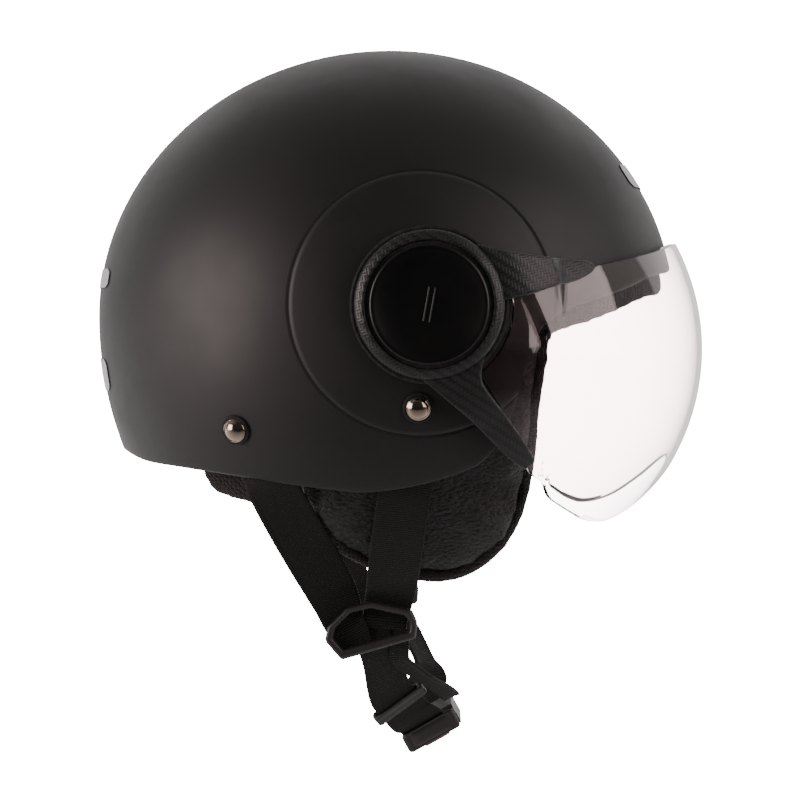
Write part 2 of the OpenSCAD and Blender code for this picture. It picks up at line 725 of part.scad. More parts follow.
// Torsion spring wound on the pin, drawn as its coil envelope with two legs
module lever_spring() {
  color("silver") at_buckle() difference() {
    translate([-3, pin_y, pin_z]) rotate([0, 90, 0]) cylinder(r = 2, h = 6);
    translate([-20, pin_y, pin_z]) rotate([0, 90, 0]) cylinder(r = pin_r + 0.1, h = 40);
  }
}

// Ribbon through the lever's slot, with a hem behind it and its end folded flat along the lever
module buckle_pull_tab() {
  color("#a01818") at_buckle() {
    translate([-6.5, -17.3, -8.2]) cube([13, 0.8, 5]);
    translate([-6.5, -18, -4.05]) cube([13, 2.2, 0.85]);
    translate([-6.5, -17.3, -8.2]) cube([13, 12, 0.8]);
  }
}

// Toothed tongue with a loop for the left strap
module ratchet_tongue() {
  color("#2a2a2a") at_buckle() difference() {
    union() {
      translate([-10, -12, -0.2]) cube([20, 46, 1.9]);
      for (k = [0 : teeth - 1]) translate([-10, -11 + k * tooth, -0.2]) rotate([90, 0, 90])
        linear_extrude(20) polygon([[0, 0.3], [0, -1.3], [tooth - 0.1, 0.3]]);
      translate([-12.5, 31, -1.6]) cube([25, 13.5, 3.4]);
    }
    translate([-11, 37.6, -3]) cube([22, 4.4, 8]);
  }
}

// ---- markings ------------------------------------------------------------
// Thin reflective patch on the shell around bearing az and height z
module patch(az, z, wide, tall) {
  n = 6;
  loft([for (i = [0 : n])
    let (a = az + wide * (i / n - 0.5), lo = shell_dir(a, z - tall / 2), hi = shell_dir(a, z + tall / 2))
    [on_shell(hi, 0.55), on_shell(hi, 0.2), on_shell(lo, 0.2), on_shell(lo, 0.55)]]);
}

module front_decal() {
  color("silver") patch(0, 62, 20, 9);
}

module rear_decals() {
  color("silver") {
    patch(180, 13, 16, 9);
    patch(180, -33, 13, 15);
  }
}

outer_shell();
eps_liner();
comfort_liner();
brow_band();
neck_roll();
nape_pad_right();
nape_pad_left();
cheek_pad_right();
cheek_pad_left();
cheek_piping_right();
cheek_piping_left();
pivot_plate_right();
pivot_plate_left();
pivot_hub_right();
pivot_hub_left();
pivot_screws();
pivot_nuts();
wave_washer_right();
wave_washer_left();
pivot_cap_right();
pivot_cap_left();
visor_lens();
visor_arm_right();
visor_arm_left();
visor_screws();
strap_rivets();
rivet_washers();
strap_anchor_plates();
front_strap_right();
front_strap_left();
rear_strap_right();
rear_strap_left();
strap_slider_right();
strap_slider_left();
chin_strap_right();
chin_strap_left();
strap_adjuster();
buckle_body();
buckle_lever();
lever_pin();
lever_spring();
buckle_pull_tab();
ratchet_tongue();
front_decal();
rear_decals();
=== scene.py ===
"""Open face motorcycle helmet: the looks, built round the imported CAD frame. Lengths are in millimetres until
a mesh is made, and the frame is the CAD's own: +X forward, +Y to the wearer's left, +Z up."""
import json
import math
import random
from contextlib import contextmanager

import bmesh
import bpy
import numpy as np
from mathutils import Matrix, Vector, noise

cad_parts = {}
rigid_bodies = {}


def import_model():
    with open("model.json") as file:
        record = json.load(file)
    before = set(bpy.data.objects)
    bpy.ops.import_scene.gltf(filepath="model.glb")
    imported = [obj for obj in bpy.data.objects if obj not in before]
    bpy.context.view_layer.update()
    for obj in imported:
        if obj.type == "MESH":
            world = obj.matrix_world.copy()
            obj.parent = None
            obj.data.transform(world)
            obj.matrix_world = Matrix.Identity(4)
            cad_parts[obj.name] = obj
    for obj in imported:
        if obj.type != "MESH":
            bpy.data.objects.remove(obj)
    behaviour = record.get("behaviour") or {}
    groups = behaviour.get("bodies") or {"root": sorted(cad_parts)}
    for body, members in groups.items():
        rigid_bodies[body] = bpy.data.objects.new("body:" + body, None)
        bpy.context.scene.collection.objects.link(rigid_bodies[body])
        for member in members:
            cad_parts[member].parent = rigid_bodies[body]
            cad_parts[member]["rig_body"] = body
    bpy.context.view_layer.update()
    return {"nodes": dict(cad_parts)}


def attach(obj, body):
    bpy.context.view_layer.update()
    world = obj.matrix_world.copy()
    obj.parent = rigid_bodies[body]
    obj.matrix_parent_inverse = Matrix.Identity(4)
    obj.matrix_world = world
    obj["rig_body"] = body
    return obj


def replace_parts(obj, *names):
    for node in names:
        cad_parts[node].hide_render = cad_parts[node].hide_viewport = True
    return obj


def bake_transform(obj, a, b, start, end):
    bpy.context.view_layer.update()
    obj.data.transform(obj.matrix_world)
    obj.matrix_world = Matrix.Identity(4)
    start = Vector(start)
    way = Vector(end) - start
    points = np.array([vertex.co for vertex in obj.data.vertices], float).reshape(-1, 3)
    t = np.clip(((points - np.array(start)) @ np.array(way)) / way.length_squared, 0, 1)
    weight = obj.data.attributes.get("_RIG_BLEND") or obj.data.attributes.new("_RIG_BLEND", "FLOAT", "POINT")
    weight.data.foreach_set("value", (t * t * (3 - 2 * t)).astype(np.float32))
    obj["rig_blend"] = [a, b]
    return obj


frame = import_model()

MM = 0.001
SIDES = {"right": -1.0, "left": 1.0}

# Shell form, as the CAD has it
SHELL_C = np.array([-19.0, 0.0, -5.0])
SHELL_BACK, SHELL_FRONT, SHELL_HALF_W = 142.0, 138.5, 122.0
SHELL_TOP, SHELL_LOW, SHELL_WALL = 129.5, 159.0, 4.0
DISC_X, DISC_Z, DISC_R, DISC_LIFT = -3.6, 0.8, 59.0, 1.8
FOAM_GAP, FOAM_T, LINER_T = 3.2, 22.0, 6.0
# Shell rim: bearing from straight ahead, height
RIM = [
    (0, 16.5), (12, 15.8), (23, 13.3), (33, 7.8), (42, 2.8), (50, -1.9), (55, -8),
    (57.4, -14), (59.5, -25), (61, -36), (62.5, -50), (64.8, -63.5), (68, -71.5),
    (72, -75.5), (79, -80), (87, -83.2), (96, -85), (105, -83.5), (113, -81.8),
    (122, -79.5), (131, -77.5), (143, -75.5), (156, -74), (168, -71), (180, -70),
]
# Visor
LENS_LONG, LENS_HALF_W, LENS_HIGH, LENS_Z, LENS_T = 133.0, 129.0, 119.4, -21.0, 2.4
FLANGE_STEP, LENS_REAR_R, LENS_REAR_TOP, LENS_REAR_LOW = 3.0, 37.5, 3.4, -31.0
LENS_TOP = [(0, 30.4), (16, 29), (32, 24.5), (46, 20), (56, 16), (64, 13), (73, 3.4)]
LENS_BOTTOM = [
    (0, -73.5), (8, -77), (16, -87), (24, -96.5), (33, -101), (42, -99.5), (50, -95), (56, -90.5),
    (60, -86.5), (63, -80), (67.5, -73.5), (73, -54), (80, -31),
]
ARM_T = 3.4
# Pivot stack, outward from the middle plane
RING_BASE, RING_FACE, RING_R, HUB_R = 125.9, 131.5, 35.0, 28.0
CAP_R, CAP_BASE, CAP_FACE = 26.4, 130.3, 133.0


# ---- small helpers ---------------------------------------------------------
def ease(v, lo, hi):
    t = np.clip((np.asarray(v, float) - lo) / (hi - lo), 0.0, 1.0)
    return t * t * (3.0 - 2.0 * t)


def unit(v):
    v = np.asarray(v, float)
    return v / np.linalg.norm(v, axis=-1, keepdims=True)


def curve_through(points, steps, closed=False):
    """Catmull-Rom curve through the points, with a number of steps between each two."""
    p = np.asarray(points, float)
    n = len(p)
    out = []
    spans = n if closed else n - 1
    for i in range(spans):
        if closed:
            a, b, c, d = p[(i - 1) % n], p[i], p[(i + 1) % n], p[(i + 2) % n]
        else:
            a, b, c, d = p[max(i - 1, 0)], p[i], p[i + 1], p[min(i + 2, n - 1)]
        second, third = 2 * a - 5 * b + 4 * c - d, 3 * b - a - 3 * c + d
        for k in range(steps):
            t = k / steps
            out.append(0.5 * (2 * b + (c - a) * t + second * t ** 2 + third * t ** 3))
    if not closed:
        out.append(p[-1])
    return np.array(out)


@contextmanager
def edited(mesh):
    """A bmesh of the mesh, written back at the end."""
    bm = bmesh.new()
    bm.from_mesh(mesh)
    yield bm
    bm.to_mesh(mesh)
    bm.free()


def shade_smooth(mesh):
    mesh.polygons.foreach_set("use_smooth", [True] * len(mesh.polygons))


def make_mesh(name, verts, faces, material, body="root", uvs=None):
    """A mesh object from points in millimetres, riding on a body."""
    mesh = bpy.data.meshes.new(name)
    points = [tuple(float(c) * MM for c in v) for v in verts]
    mesh.from_pydata(points, [], [tuple(int(i) for i in f) for f in faces])
    mesh.validate()
    piece = bpy.data.objects.new(name, mesh)
    bpy.context.scene.collection.objects.link(piece)
    shade_smooth(mesh)
    if uvs is not None:
        layer = mesh.uv_layers.new(name="lay")
        for loop in mesh.loops:
            layer.data[loop.index].uv = uvs[loop.vertex_index]
    mesh.materials.append(material)
    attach(piece, body)
    return piece


def outward_faces(piece, merge=True):
    with edited(piece.data) as bm:
        if merge:
            bmesh.ops.remove_doubles(bm, verts=bm.verts, dist=1e-6)
        bmesh.ops.recalc_face_normals(bm, faces=bm.faces)


def skin(name, verts, faces, material, body="root"):
    """A mesh object with its faces outward, in a material slot."""
    piece = make_mesh(name, verts, faces, material, body)
    outward_faces(piece)
    return piece


def grid_faces(rows, cols, wrap_cols=False, wrap_rows=False, start=0):
    faces = []
    for j in range(rows if wrap_rows else rows - 1):
        for i in range(cols if wrap_cols else cols - 1):
            a = start + j * cols + i
            b = start + j * cols + (i + 1) % cols
            nxt = ((j + 1) % rows) * cols
            faces.append((a, b, start + nxt + (i + 1) % cols, start + nxt + i))
    return faces


def tube_faces(rows, cols):
    """Faces of rows of points wrapped into a tube, with both ends closed."""
    ends = [tuple(range(cols)), tuple((rows - 1) * cols + i for i in range(cols))]
    return grid_faces(rows, cols, wrap_cols=True) + ends


def poled(first, rows, last):
    """Vertices and faces of a closed skin over rows of points, from pole to pole."""
    cols = len(rows[0])
    verts = [first] + [p for row in rows for p in row] + [last]
    faces = [(0, 1 + (i + 1) % cols, 1 + i) for i in range(cols)]
    faces += grid_faces(len(rows), cols, wrap_cols=True, start=1)
    end = 1 + (len(rows) - 1) * cols
    faces += [(end + i, end + (i + 1) % cols, len(verts) - 1) for i in range(cols)]
    return verts, faces


def lathe(name, profile, material, body, side, turns):
    """A turned piece about the pivot axis: profile is [(radius, distance outward)], closed."""
    verts, cols = [], len(profile)
    for k in range(turns):
        a = 2 * math.pi * k / turns
        verts += [(r * math.cos(a), SIDES[side] * w, r * math.sin(a)) for r, w in profile]
    faces = grid_faces(turns, cols, wrap_cols=True, wrap_rows=True)
    return skin(name, verts, faces, material, body)


def sharpen(piece):
    """Splits the shading at edges over 50 degrees."""
    bpy.context.view_layer.objects.active = piece
    mod = piece.modifiers.new("edges", "EDGE_SPLIT")
    mod.split_angle = math.radians(50)
    apply_modifiers(piece)


def apply_modifiers(piece):
    """Bakes the piece's modifiers into its mesh."""
    graph = bpy.context.evaluated_depsgraph_get()
    done = bpy.data.meshes.new_from_object(piece.evaluated_get(graph))
    old = piece.data
    piece.modifiers.clear()
    piece.data = done
    bpy.data.meshes.remove(old)


def bevelled(piece, width_mm, segments, angle):
    mod = piece.modifiers.new("round", "BEVEL")
    mod.width = width_mm * MM
    mod.segments = segments
    mod.limit_method = "ANGLE"
    mod.angle_limit = math.radians(angle)
    mod.harden_normals = False
    apply_modifiers(piece)


def mirrored(points, side):
    """Right-hand points, which have y below zero, taken to a side."""
    out = np.array(points, float)
    if side == "left":
        out[..., 1] *= -1.0
    return out


# ---- shell form ------------------------------------------------------------
def shell_axes(d, off):
    d = np.asarray(d, float)
    a = np.where(d[..., 0] < 0, SHELL_BACK, SHELL_FRONT) + off
    c = np.where(d[..., 2] < 0, SHELL_LOW, SHELL_TOP) + off
    return np.stack([a, np.full_like(a, SHELL_HALF_W) + off, c], -1)


def on_shell(d, off=0.0):
    """Points of the shell's form in directions d from its centre, off outside it."""
    off = np.asarray(off, float)
    axes = shell_axes(d, off)
    return SHELL_C + d / np.linalg.norm(d / axes, axis=-1, keepdims=True)


def shell_y(x, z, off=0.0):
    x, z = np.asarray(x, float), np.asarray(z, float)
    d = np.stack([x - SHELL_C[0], np.ones_like(x * z), z - SHELL_C[2] + 0 * x], -1)
    a = shell_axes(d, off)
    v = 1 - (d[..., 0] / a[..., 0]) ** 2 - (d[..., 2] / a[..., 2]) ** 2
    return a[..., 1] * np.sqrt(np.maximum(v, 0.0))


def shell_dir(bearing, z):
    b = np.radians(np.asarray(bearing, float))
    dz = np.asarray(z, float) - SHELL_C[2]
    flat = np.stack([np.cos(b), np.sin(b), dz], -1)
    a = shell_axes(flat, 0.0)
    r = np.sqrt(1 - (dz / a[..., 2]) ** 2) / np.hypot(flat[..., 0] / a[..., 0], flat[..., 1] / a[..., 1])
    return unit(np.stack([r * flat[..., 0], r * flat[..., 1], dz], -1))


def shell_normal(x, z, side=-1.0):
    d = np.stack([x - SHELL_C[0], side * shell_y(x, z), z - SHELL_C[2]], -1)
    return unit(d / shell_axes(d, 0.0) ** 2)


def slerp(a, b, t):
    w = np.arccos(np.clip(np.sum(a * b, -1, keepdims=True), -1, 1))
    return (np.sin((1 - t) * w) * a + np.sin(t * w) * b) / np.sin(w)


def rim_z(bearing):
    turn = np.abs((np.asarray(bearing, float) + 180) % 360 - 180)
    smooth = curve_through(RIM, 6)
    return np.interp(turn, smooth[:, 0], smooth[:, 1])


def rim_curve(steps):
    """The rim once round, as bearings and heights."""
    ring = RIM + [(360 - a, z) for a, z in reversed(RIM[1:-1])]
    lead = 2
    before, after = [(a - 360, z) for a, z in ring[-lead:]], [(a + 360, z) for a, z in ring[:3]]
    fine = curve_through(before + ring + after, steps)
    return fine[lead * steps:(lead + len(ring)) * steps]


# ---- node helpers for materials -------------------------------------------
def new_material(name, slot_colour, roughness, metallic=0.0, specular=0.5):
    mat = bpy.data.materials.new(name)
    mat.use_nodes = True
    nt = mat.node_tree
    shader = nt.nodes["Principled BSDF"]
    shader.inputs["Base Color"].default_value = (*slot_colour, 1.0)
    shader.inputs["Roughness"].default_value = roughness
    shader.inputs["Metallic"].default_value = metallic
    shader.inputs["Specular IOR Level"].default_value = specular
    return mat, nt, shader


def node(nt, kind, links=None, **values):
    """A node with its settings; links maps an input's name or number to an output."""
    made = nt.nodes.new(kind)
    for key, value in values.items():
        if hasattr(made, key):
            setattr(made, key, value)
        else:
            made.inputs[key].default_value = value
    for key, source in (links or {}).items():
        nt.links.new(source, made.inputs[key])
    return made


def maths(nt, operation, *operands):
    made = nt.nodes.new("ShaderNodeMath")
    made.operation = operation
    for k, operand in enumerate(operands):
        if isinstance(operand, (int, float)):
            made.inputs[k].default_value = operand
        else:
            nt.links.new(operand, made.inputs[k])
    return made.outputs[0]


def place(nt):
    return node(nt, "ShaderNodeTexCoord").outputs["Object"]


def noise_out(nt, vector, scale, detail=3.0, rough=0.55, output="Fac"):
    made = node(nt, "ShaderNodeTexNoise", {"Vector": vector})
    made.inputs["Scale"].default_value = scale
    made.inputs["Detail"].default_value = detail
    made.inputs["Roughness"].default_value = rough
    return made.outputs[output]


def cells_out(nt, vector, scale, feature="F1", randomness=1.0):
    """Distance output of a cell pattern."""
    made = node(nt, "ShaderNodeTexVoronoi", {"Vector": vector}, feature=feature, Scale=scale)
    made.inputs["Randomness"].default_value = randomness
    return made.outputs["Distance"]


def ramp(nt, source, *stops):
    """Colour between two stops of (position, colour)."""
    made = node(nt, "ShaderNodeValToRGB", {"Fac": source})
    for element, (position, colour) in zip(made.color_ramp.elements, stops):
        element.position, element.color = position, (*colour, 1)
    return made.outputs["Color"]


def tint(nt, shader, source, *stops):
    nt.links.new(ramp(nt, source, *stops), shader.inputs["Base Color"])


def uneven_gloss(nt, shader, source, low, high, lo=0.3, hi=0.7):
    """Roughness from low to high as the source goes from lo to hi."""
    nt.links.new(remap(nt, source, lo, hi, low, high), shader.inputs["Roughness"])


def mix_colour(nt, factor, low, high):
    """Colour between two, each a plain colour or an output."""
    made = node(nt, "ShaderNodeMix", {0: factor}, data_type="RGBA")
    for socket, colour in ((6, low), (7, high)):
        if isinstance(colour, tuple):
            made.inputs[socket].default_value = (*colour, 1)
        else:
            nt.links.new(colour, made.inputs[socket])
    return made.outputs[2]


def remap(nt, source, lo, hi, out_lo, out_hi):
    made = node(nt, "ShaderNodeMapRange", {"Value": source})
    for name, value in (("From Min", lo), ("From Max", hi), ("To Min", out_lo), ("To Max", out_hi)):
        made.inputs[name].default_value = value
    return made.outputs["Result"]


def bump(nt, shader, height, strength, distance_mm, below=None):
    made = node(nt, "ShaderNodeBump", {"Height": height})
    made.inputs["Strength"].default_value = strength
    made.inputs["Distance"].default_value = distance_mm * MM
    if below is not None:
        nt.links.new(below, made.inputs["Normal"])
    if shader is not None:
        nt.links.new(made.outputs["Normal"], shader.inputs["Normal"])
    return made.outputs["Normal"]


def paler_convex_edges(nt, shader, base, convex_tone):
    """Paler colour where the surface is sharply convex, broken up by noise."""
    edge = node(nt, "ShaderNodeNewGeometry").outputs["Pointiness"]
    mask = remap(nt, edge, 0.505, 0.56, 0.0, 1.0)
    breaks = remap(nt, noise_out(nt, place(nt), 300.0), 0.4, 0.65, 0.0, 0.25)
    colour = mix_colour(nt, maths(nt, "MULTIPLY", mask, breaks), base, convex_tone)
    nt.links.new(colour, shader.inputs["Base Color"])


# ---- materials ---------------------------------------------------------------
def shell_paint():
    """Matte black lacquer: fine orange peel, faint dust and slightly uneven gloss."""
    mat, nt, shader = new_material("shell_paint", (0.0075, 0.0068, 0.0066), 0.5)
    at = place(nt)
    uneven_gloss(nt, shader, noise_out(nt, at, 22.0, 4.0), 0.46, 0.56)
    tint(nt, shader, noise_out(nt, at, 9.0, 6.0, 0.6), (0.35, (0.0068, 0.0062, 0.006)),
         (0.75, (0.0095, 0.0087, 0.0083)))
    fine = bump(nt, None, noise_out(nt, at, 2600.0, 2.0), 0.12, 0.05)
    bump(nt, shader, noise_out(nt, at, 420.0, 2.0), 0.05, 0.08, below=fine)
    return mat


def carbon_weave():
    """Two-by-two twill moulded into satin black plastic, laid over the side of the helmet."""
    mat, nt, shader = new_material("carbon_weave", (0.02, 0.02, 0.021), 0.38)
    tow_mm, tilt, far = 1.3, math.radians(12), 4000.0  # far keeps the count of tows above zero
    turned = node(nt, "ShaderNodeMapping", {"Vector": place(nt)}, Rotation=(0, tilt, 0),
                  Scale=(1000 / tow_mm,) * 3)
    apart = node(nt, "ShaderNodeSeparateXYZ", {"Vector": turned.outputs["Vector"]})

    def arch(way):
        within = maths(nt, "FRACT", maths(nt, "ADD", way, far))
        return maths(nt, "SINE", maths(nt, "MULTIPLY", within, math.pi))

    u, v = apart.outputs["X"], apart.outputs["Z"]
    count = maths(nt, "ADD", maths(nt, "FLOOR", u), maths(nt, "FLOOR", v))
    step = maths(nt, "MODULO", maths(nt, "ADD", count, far), 4.0)
    warp = maths(nt, "LESS_THAN", step, 1.5)
    high = node(nt, "ShaderNodeMix", {0: warp, 2: arch(v), 3: arch(u)}, data_type="FLOAT").outputs[0]
    # warp tows are painted paler than the weft, palest along each crown: a painted sheen that shows the real
    # twill
    lit = maths(nt, "MULTIPLY", warp, remap(nt, high, 0.2, 1.0, 0.2, 1.0))
    tone = mix_colour(nt, lit, (0.008, 0.008, 0.0085), (0.018, 0.0175, 0.018))
    nt.links.new(tone, shader.inputs["Base Color"])
    uneven_gloss(nt, shader, high, 0.55, 0.32, 0.0, 1.0)
    bump(nt, shader, high, 0.5, 0.18)
    return mat


def moulded_plastic(name, colour, roughness, grain_mm=0.5, grain=0.12, edge_tone=(0.05, 0.05, 0.05)):
    """Moulded plastic: spark-eroded grain, uneven gloss and paler sharply convex edges."""
    mat, nt, shader = new_material(name, colour, roughness)
    at = place(nt)
    uneven_gloss(nt, shader, noise_out(nt, at, 60.0, 5.0), roughness - 0.05, roughness + 0.07)
    # convex edges are given a paler colour, in patches set by noise
    paler_convex_edges(nt, shader, colour, edge_tone)
    bump(nt, shader, noise_out(nt, at, 1000 / grain_mm, 2.0), grain, 0.05)
    return mat


def cap_gloss():
    """Satin black of the pivot caps, with uneven gloss and faint scuffs."""
    mat, nt, shader = new_material("cap_gloss", (0.006, 0.006, 0.0062), 0.22)
    at = place(nt)
    uneven_gloss(nt, shader, noise_out(nt, at, 30.0, 3.0), 0.28, 0.36)
    tint(nt, shader, noise_out(nt, at, 40.0, 5.0), (0.3, (0.0008, 0.0008, 0.0009)),
         (0.8, (0.0022, 0.0021, 0.002)))
    bump(nt, shader, noise_out(nt, at, 900.0, 2.0), 0.02, 0.02)
    return mat


def clear_lens():
    """Clear polycarbonate with a faint pink tint and a slow ripple from moulding."""
    mat, nt, shader = new_material("clear_lens", (0.985, 0.87, 0.865), 0.0)
    shader.inputs["Transmission Weight"].default_value = 1.0
    shader.inputs["IOR"].default_value = 1.58
    at = place(nt)
    bump(nt, shader, noise_out(nt, at, 12.0, 1.0), 0.02, 0.3)
    return mat


def leatherette():
    """Black leatherette: fine pebble grain and short creases over slack folds."""
    mat, nt, shader = new_material("leatherette", (0.008, 0.0075, 0.0074), 0.5, specular=0.4)
    at = place(nt)
    cells = cells_out(nt, at, 620.0, "DISTANCE_TO_EDGE")
    lean = math.radians(-20)
    stretched = node(nt, "ShaderNodeMapping", {"Vector": at}, Rotation=(0, lean, 0), Scale=(1, 1, 2))
    creases = noise_out(nt, stretched.outputs["Vector"], 420.0, 2.0, 0.45)
    slack = noise_out(nt, stretched.outputs["Vector"], 55.0, 1.0, 0.4)
    uneven_gloss(nt, shader, creases, 0.4, 0.55)
    # darker in the crease hollows and paler on their ridges: painted shade following the creases' bump
    tint(nt, shader, creases, (0.35, (0.006, 0.0054, 0.0053)), (0.65, (0.02, 0.018, 0.0176)))
    grain = bump(nt, None, remap(nt, cells, 0.0, 0.35, 0.0, 1.0), 0.4, 0.2)
    folds = bump(nt, None, slack, 0.4, 1.5, below=grain)
    bump(nt, shader, creases, 1.0, 1.3, below=folds)
    return mat


def spacer_mesh():
    """Brown-black spacer mesh: rows of small round holes between raised yarn."""
    mat, nt, shader = new_material("spacer_mesh", (0.02, 0.014, 0.012), 0.85, specular=0.2)
    at = place(nt)
    deep = remap(nt, cells_out(nt, at, 520.0, randomness=0.35), 0.15, 0.5, 0.0, 1.0)
    # the holes are near-black and the yarn paler: painted shade in the holes, following the bump
    tint(nt, shader, deep, (0.1, (0.0012, 0.0008, 0.0007)), (0.9, (0.011, 0.0068, 0.0062)))
    shader.inputs["Sheen Weight"].default_value = 0.08
    shader.inputs["Sheen Roughness"].default_value = 0.5
    fuzz = bump(nt, None, noise_out(nt, at, 2200.0, 3.0), 0.3, 0.12)
    bump(nt, shader, deep, 1.0, 0.8, below=fuzz)
    return mat


def brushed_cloth():
    """Brushed polyester lining: short nap over a fine knit."""
    mat, nt, shader = new_material("brushed_cloth", (0.02, 0.019, 0.02), 0.9, specular=0.15)
    at = place(nt)
    shader.inputs["Sheen Weight"].default_value = 0.5
    shader.inputs["Sheen Roughness"].default_value = 0.4
    tint(nt, shader, noise_out(nt, at, 60.0, 6.0), (0.3, (0.013, 0.0125, 0.013)),
         (0.7, (0.026, 0.025, 0.026)))
    nap = bump(nt, None, cells_out(nt, at, 900.0), 0.5, 0.3)
    bump(nt, shader, noise_out(nt, at, 1500.0, 4.0), 0.4, 0.2, below=nap)
    return mat


def bead_foam():
    """Expanded bead foam: rounded cells pressed together."""
    mat, nt, shader = new_material("bead_foam", (0.03, 0.03, 0.032), 0.75, specular=0.3)
    beads = cells_out(nt, place(nt), 260.0, "DISTANCE_TO_EDGE")
    # darker in the joins between beads and paler on their domes: painted shade following the beads' bump
    tint(nt, shader, beads, (0.0, (0.012, 0.012, 0.013)), (0.25, (0.04, 0.04, 0.043)))
    bump(nt, shader, remap(nt, beads, 0.0, 0.25, 0.0, 1.0), 0.6, 0.4)
    return mat


def webbing():
    """Plain-woven polyester webbing. The lay map holds millimetres across and along."""
    mat, nt, shader = new_material("webbing", (0.009, 0.0085, 0.009), 0.62, specular=0.12)
    lay = nt.nodes.new("ShaderNodeUVMap")
    lay.uv_map = "lay"
    apart = node(nt, "ShaderNodeSeparateXYZ", {"Vector": lay.outputs["UV"]})
    across, along = apart.outputs["X"], apart.outputs["Y"]
    wale, pick = 0.9, 1.1
    row = maths(nt, "FLOOR", maths(nt, "DIVIDE", across, wale))
    shift = maths(nt, "MULTIPLY", maths(nt, "MODULO", maths(nt, "ADD", row, 400.0), 2.0), 0.16)
    rib = maths(nt, "ABSOLUTE", maths(nt, "SINE", maths(nt, "MULTIPLY", across, math.pi / wale)))
    picks = maths(nt, "ADD", maths(nt, "DIVIDE", along, pick), shift)
    cross_yarn = maths(nt, "ABSOLUTE", maths(nt, "SINE", maths(nt, "MULTIPLY", picks, math.pi)))
    high = maths(nt, "ADD", maths(nt, "MULTIPLY", rib, 0.2), maths(nt, "MULTIPLY", cross_yarn, 0.8))
    fibre = noise_out(nt, place(nt), 1800.0, 4.0)
    # darker where the weave is low and paler on its crowns: painted shade following the weave's bump
    tint(nt, shader, high, (0.25, (0.0035, 0.0031, 0.0031)), (0.95, (0.02, 0.0178, 0.0178)))
    uneven_gloss(nt, shader, fibre, 0.5, 0.75)
    shader.inputs["Sheen Weight"].default_value = 0.05
    shader.inputs["Sheen Roughness"].default_value = 0.45
    hairs = bump(nt, None, fibre, 0.25, 0.1)
    bump(nt, shader, high, 0.75, 0.3, below=hairs)
    return mat


def polished_metal(name, colour, roughness):
    """Plated metal with fine rub marks."""
    mat, nt, shader = new_material(name, colour, roughness, metallic=1.0)
    at = place(nt)
    uneven_gloss(nt, shader, noise_out(nt, at, 700.0, 5.0, 0.7), roughness, roughness + 0.12, 0.4, 0.75)
    bump(nt, shader, noise_out(nt, at, 500.0, 3.0), 0.04, 0.05)
    return mat


def reflective_film():
    """Pale grey film of fine glass beads."""
    mat, nt, shader = new_material("reflective_film", (0.42, 0.43, 0.44), 0.4)
    beads = cells_out(nt, place(nt), 1400.0)
    tint(nt, shader, beads, (0.1, (0.5, 0.51, 0.52)), (0.8, (0.3, 0.31, 0.32)))
    bump(nt, shader, beads, 0.3, 0.05)
    return mat


def red_ribbon():
    """Woven red ribbon with a fine cross rib."""
    mat, nt, shader = new_material("red_ribbon", (0.28, 0.012, 0.012), 0.7, specular=0.3)
    wave = node(nt, "ShaderNodeTexWave", {"Vector": place(nt)}, wave_type="BANDS", bands_direction="Z",
                Scale=420.0)
    ribs = wave.outputs["Fac"]
    # darker between the ribs and paler on them: painted shade following the ribs' bump
    tint(nt, shader, ribs, (0.2, (0.16, 0.006, 0.006)), (0.8, (0.36, 0.02, 0.018)))
    bump(nt, shader, ribs, 0.4, 0.15)
    return mat


MATERIALS = {
    "shell_paint": shell_paint(),
    "carbon": carbon_weave(),
    "plastic": moulded_plastic("black_plastic", (0.01, 0.01, 0.0105), 0.45),
    # near-black plastic: painted shade in the side disc's crease and at the visor ring's foot, and the rivet
    # washers' own colour
    "shade_and_washer_black": moulded_plastic("shade_and_washer_black", (0.002, 0.002, 0.002), 0.8),
    "cap": cap_gloss(),
    "buckle": moulded_plastic("black_acetal", (0.021, 0.0185, 0.018), 0.42, 0.8, 0.08, (0.03, 0.027, 0.026)),
    "lens": clear_lens(),
    "leatherette": leatherette(),
    "mesh": spacer_mesh(),
    "cloth": brushed_cloth(),
    "foam": bead_foam(),
    "webbing": webbing(),
    "chrome": polished_metal("rivet_chrome", (0.42, 0.33, 0.27), 0.06),
    "steel": polished_metal("plated_steel", (0.5, 0.5, 0.51), 0.28),
    "film": reflective_film(),
    "ribbon": red_ribbon(),
}


# ---- shell -----------------------------------------------------------------
def build_shell():
    """Outer skin, rounded rim and inside of the moulded shell, in one closed mesh."""
    rim = rim_curve(8)
    ends = shell_dir(rim[:, 0], rim[:, 1])
    pole = np.array([0.0, 0.0, 1.0])
    angle = np.arccos(ends @ pole)
    outer_rows, inner_rows, bead_rows = 110, 40, 8
    half, mean_r = SHELL_WALL / 2, 130.0
    rows = []
    reach = 1 - (half / (mean_r * angle))[:, None]
    for t in np.linspace(0.012, 1.0, outer_rows):
        rows.append(on_shell(slerp(pole, ends, t * reach)))
    for k in range(1, bead_rows):
        a = math.pi * k / bead_rows
        t = reach + (half * math.sin(a) / (mean_r * angle))[:, None]
        rows.append(on_shell(slerp(pole, ends, t), -half + half * math.cos(a)))
    for t in np.linspace(1.0, 0.03, inner_rows):
        rows.append(on_shell(slerp(pole, ends, t * reach), -SHELL_WALL))
    verts, faces = poled(on_shell(pole), rows, on_shell(pole, -SHELL_WALL))
    piece = skin("shell_skin", verts, faces, MATERIALS["shell_paint"])
    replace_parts(piece, "outer_shell")


def side_patch(name, side, profile, material):
    """A round patch that follows the shell: profile is [(radius, height over the shell)]."""
    verts, turns = [], 160
    for r, high in profile:
        for k in range(turns):
            a = 2 * math.pi * k / turns
            x, z = DISC_X + r * math.cos(a), DISC_Z + r * math.sin(a)
            verts.append((x, SIDES[side] * shell_y(x, z, high), z))
    return skin(name, verts, grid_faces(len(profile), turns, wrap_cols=True), material)


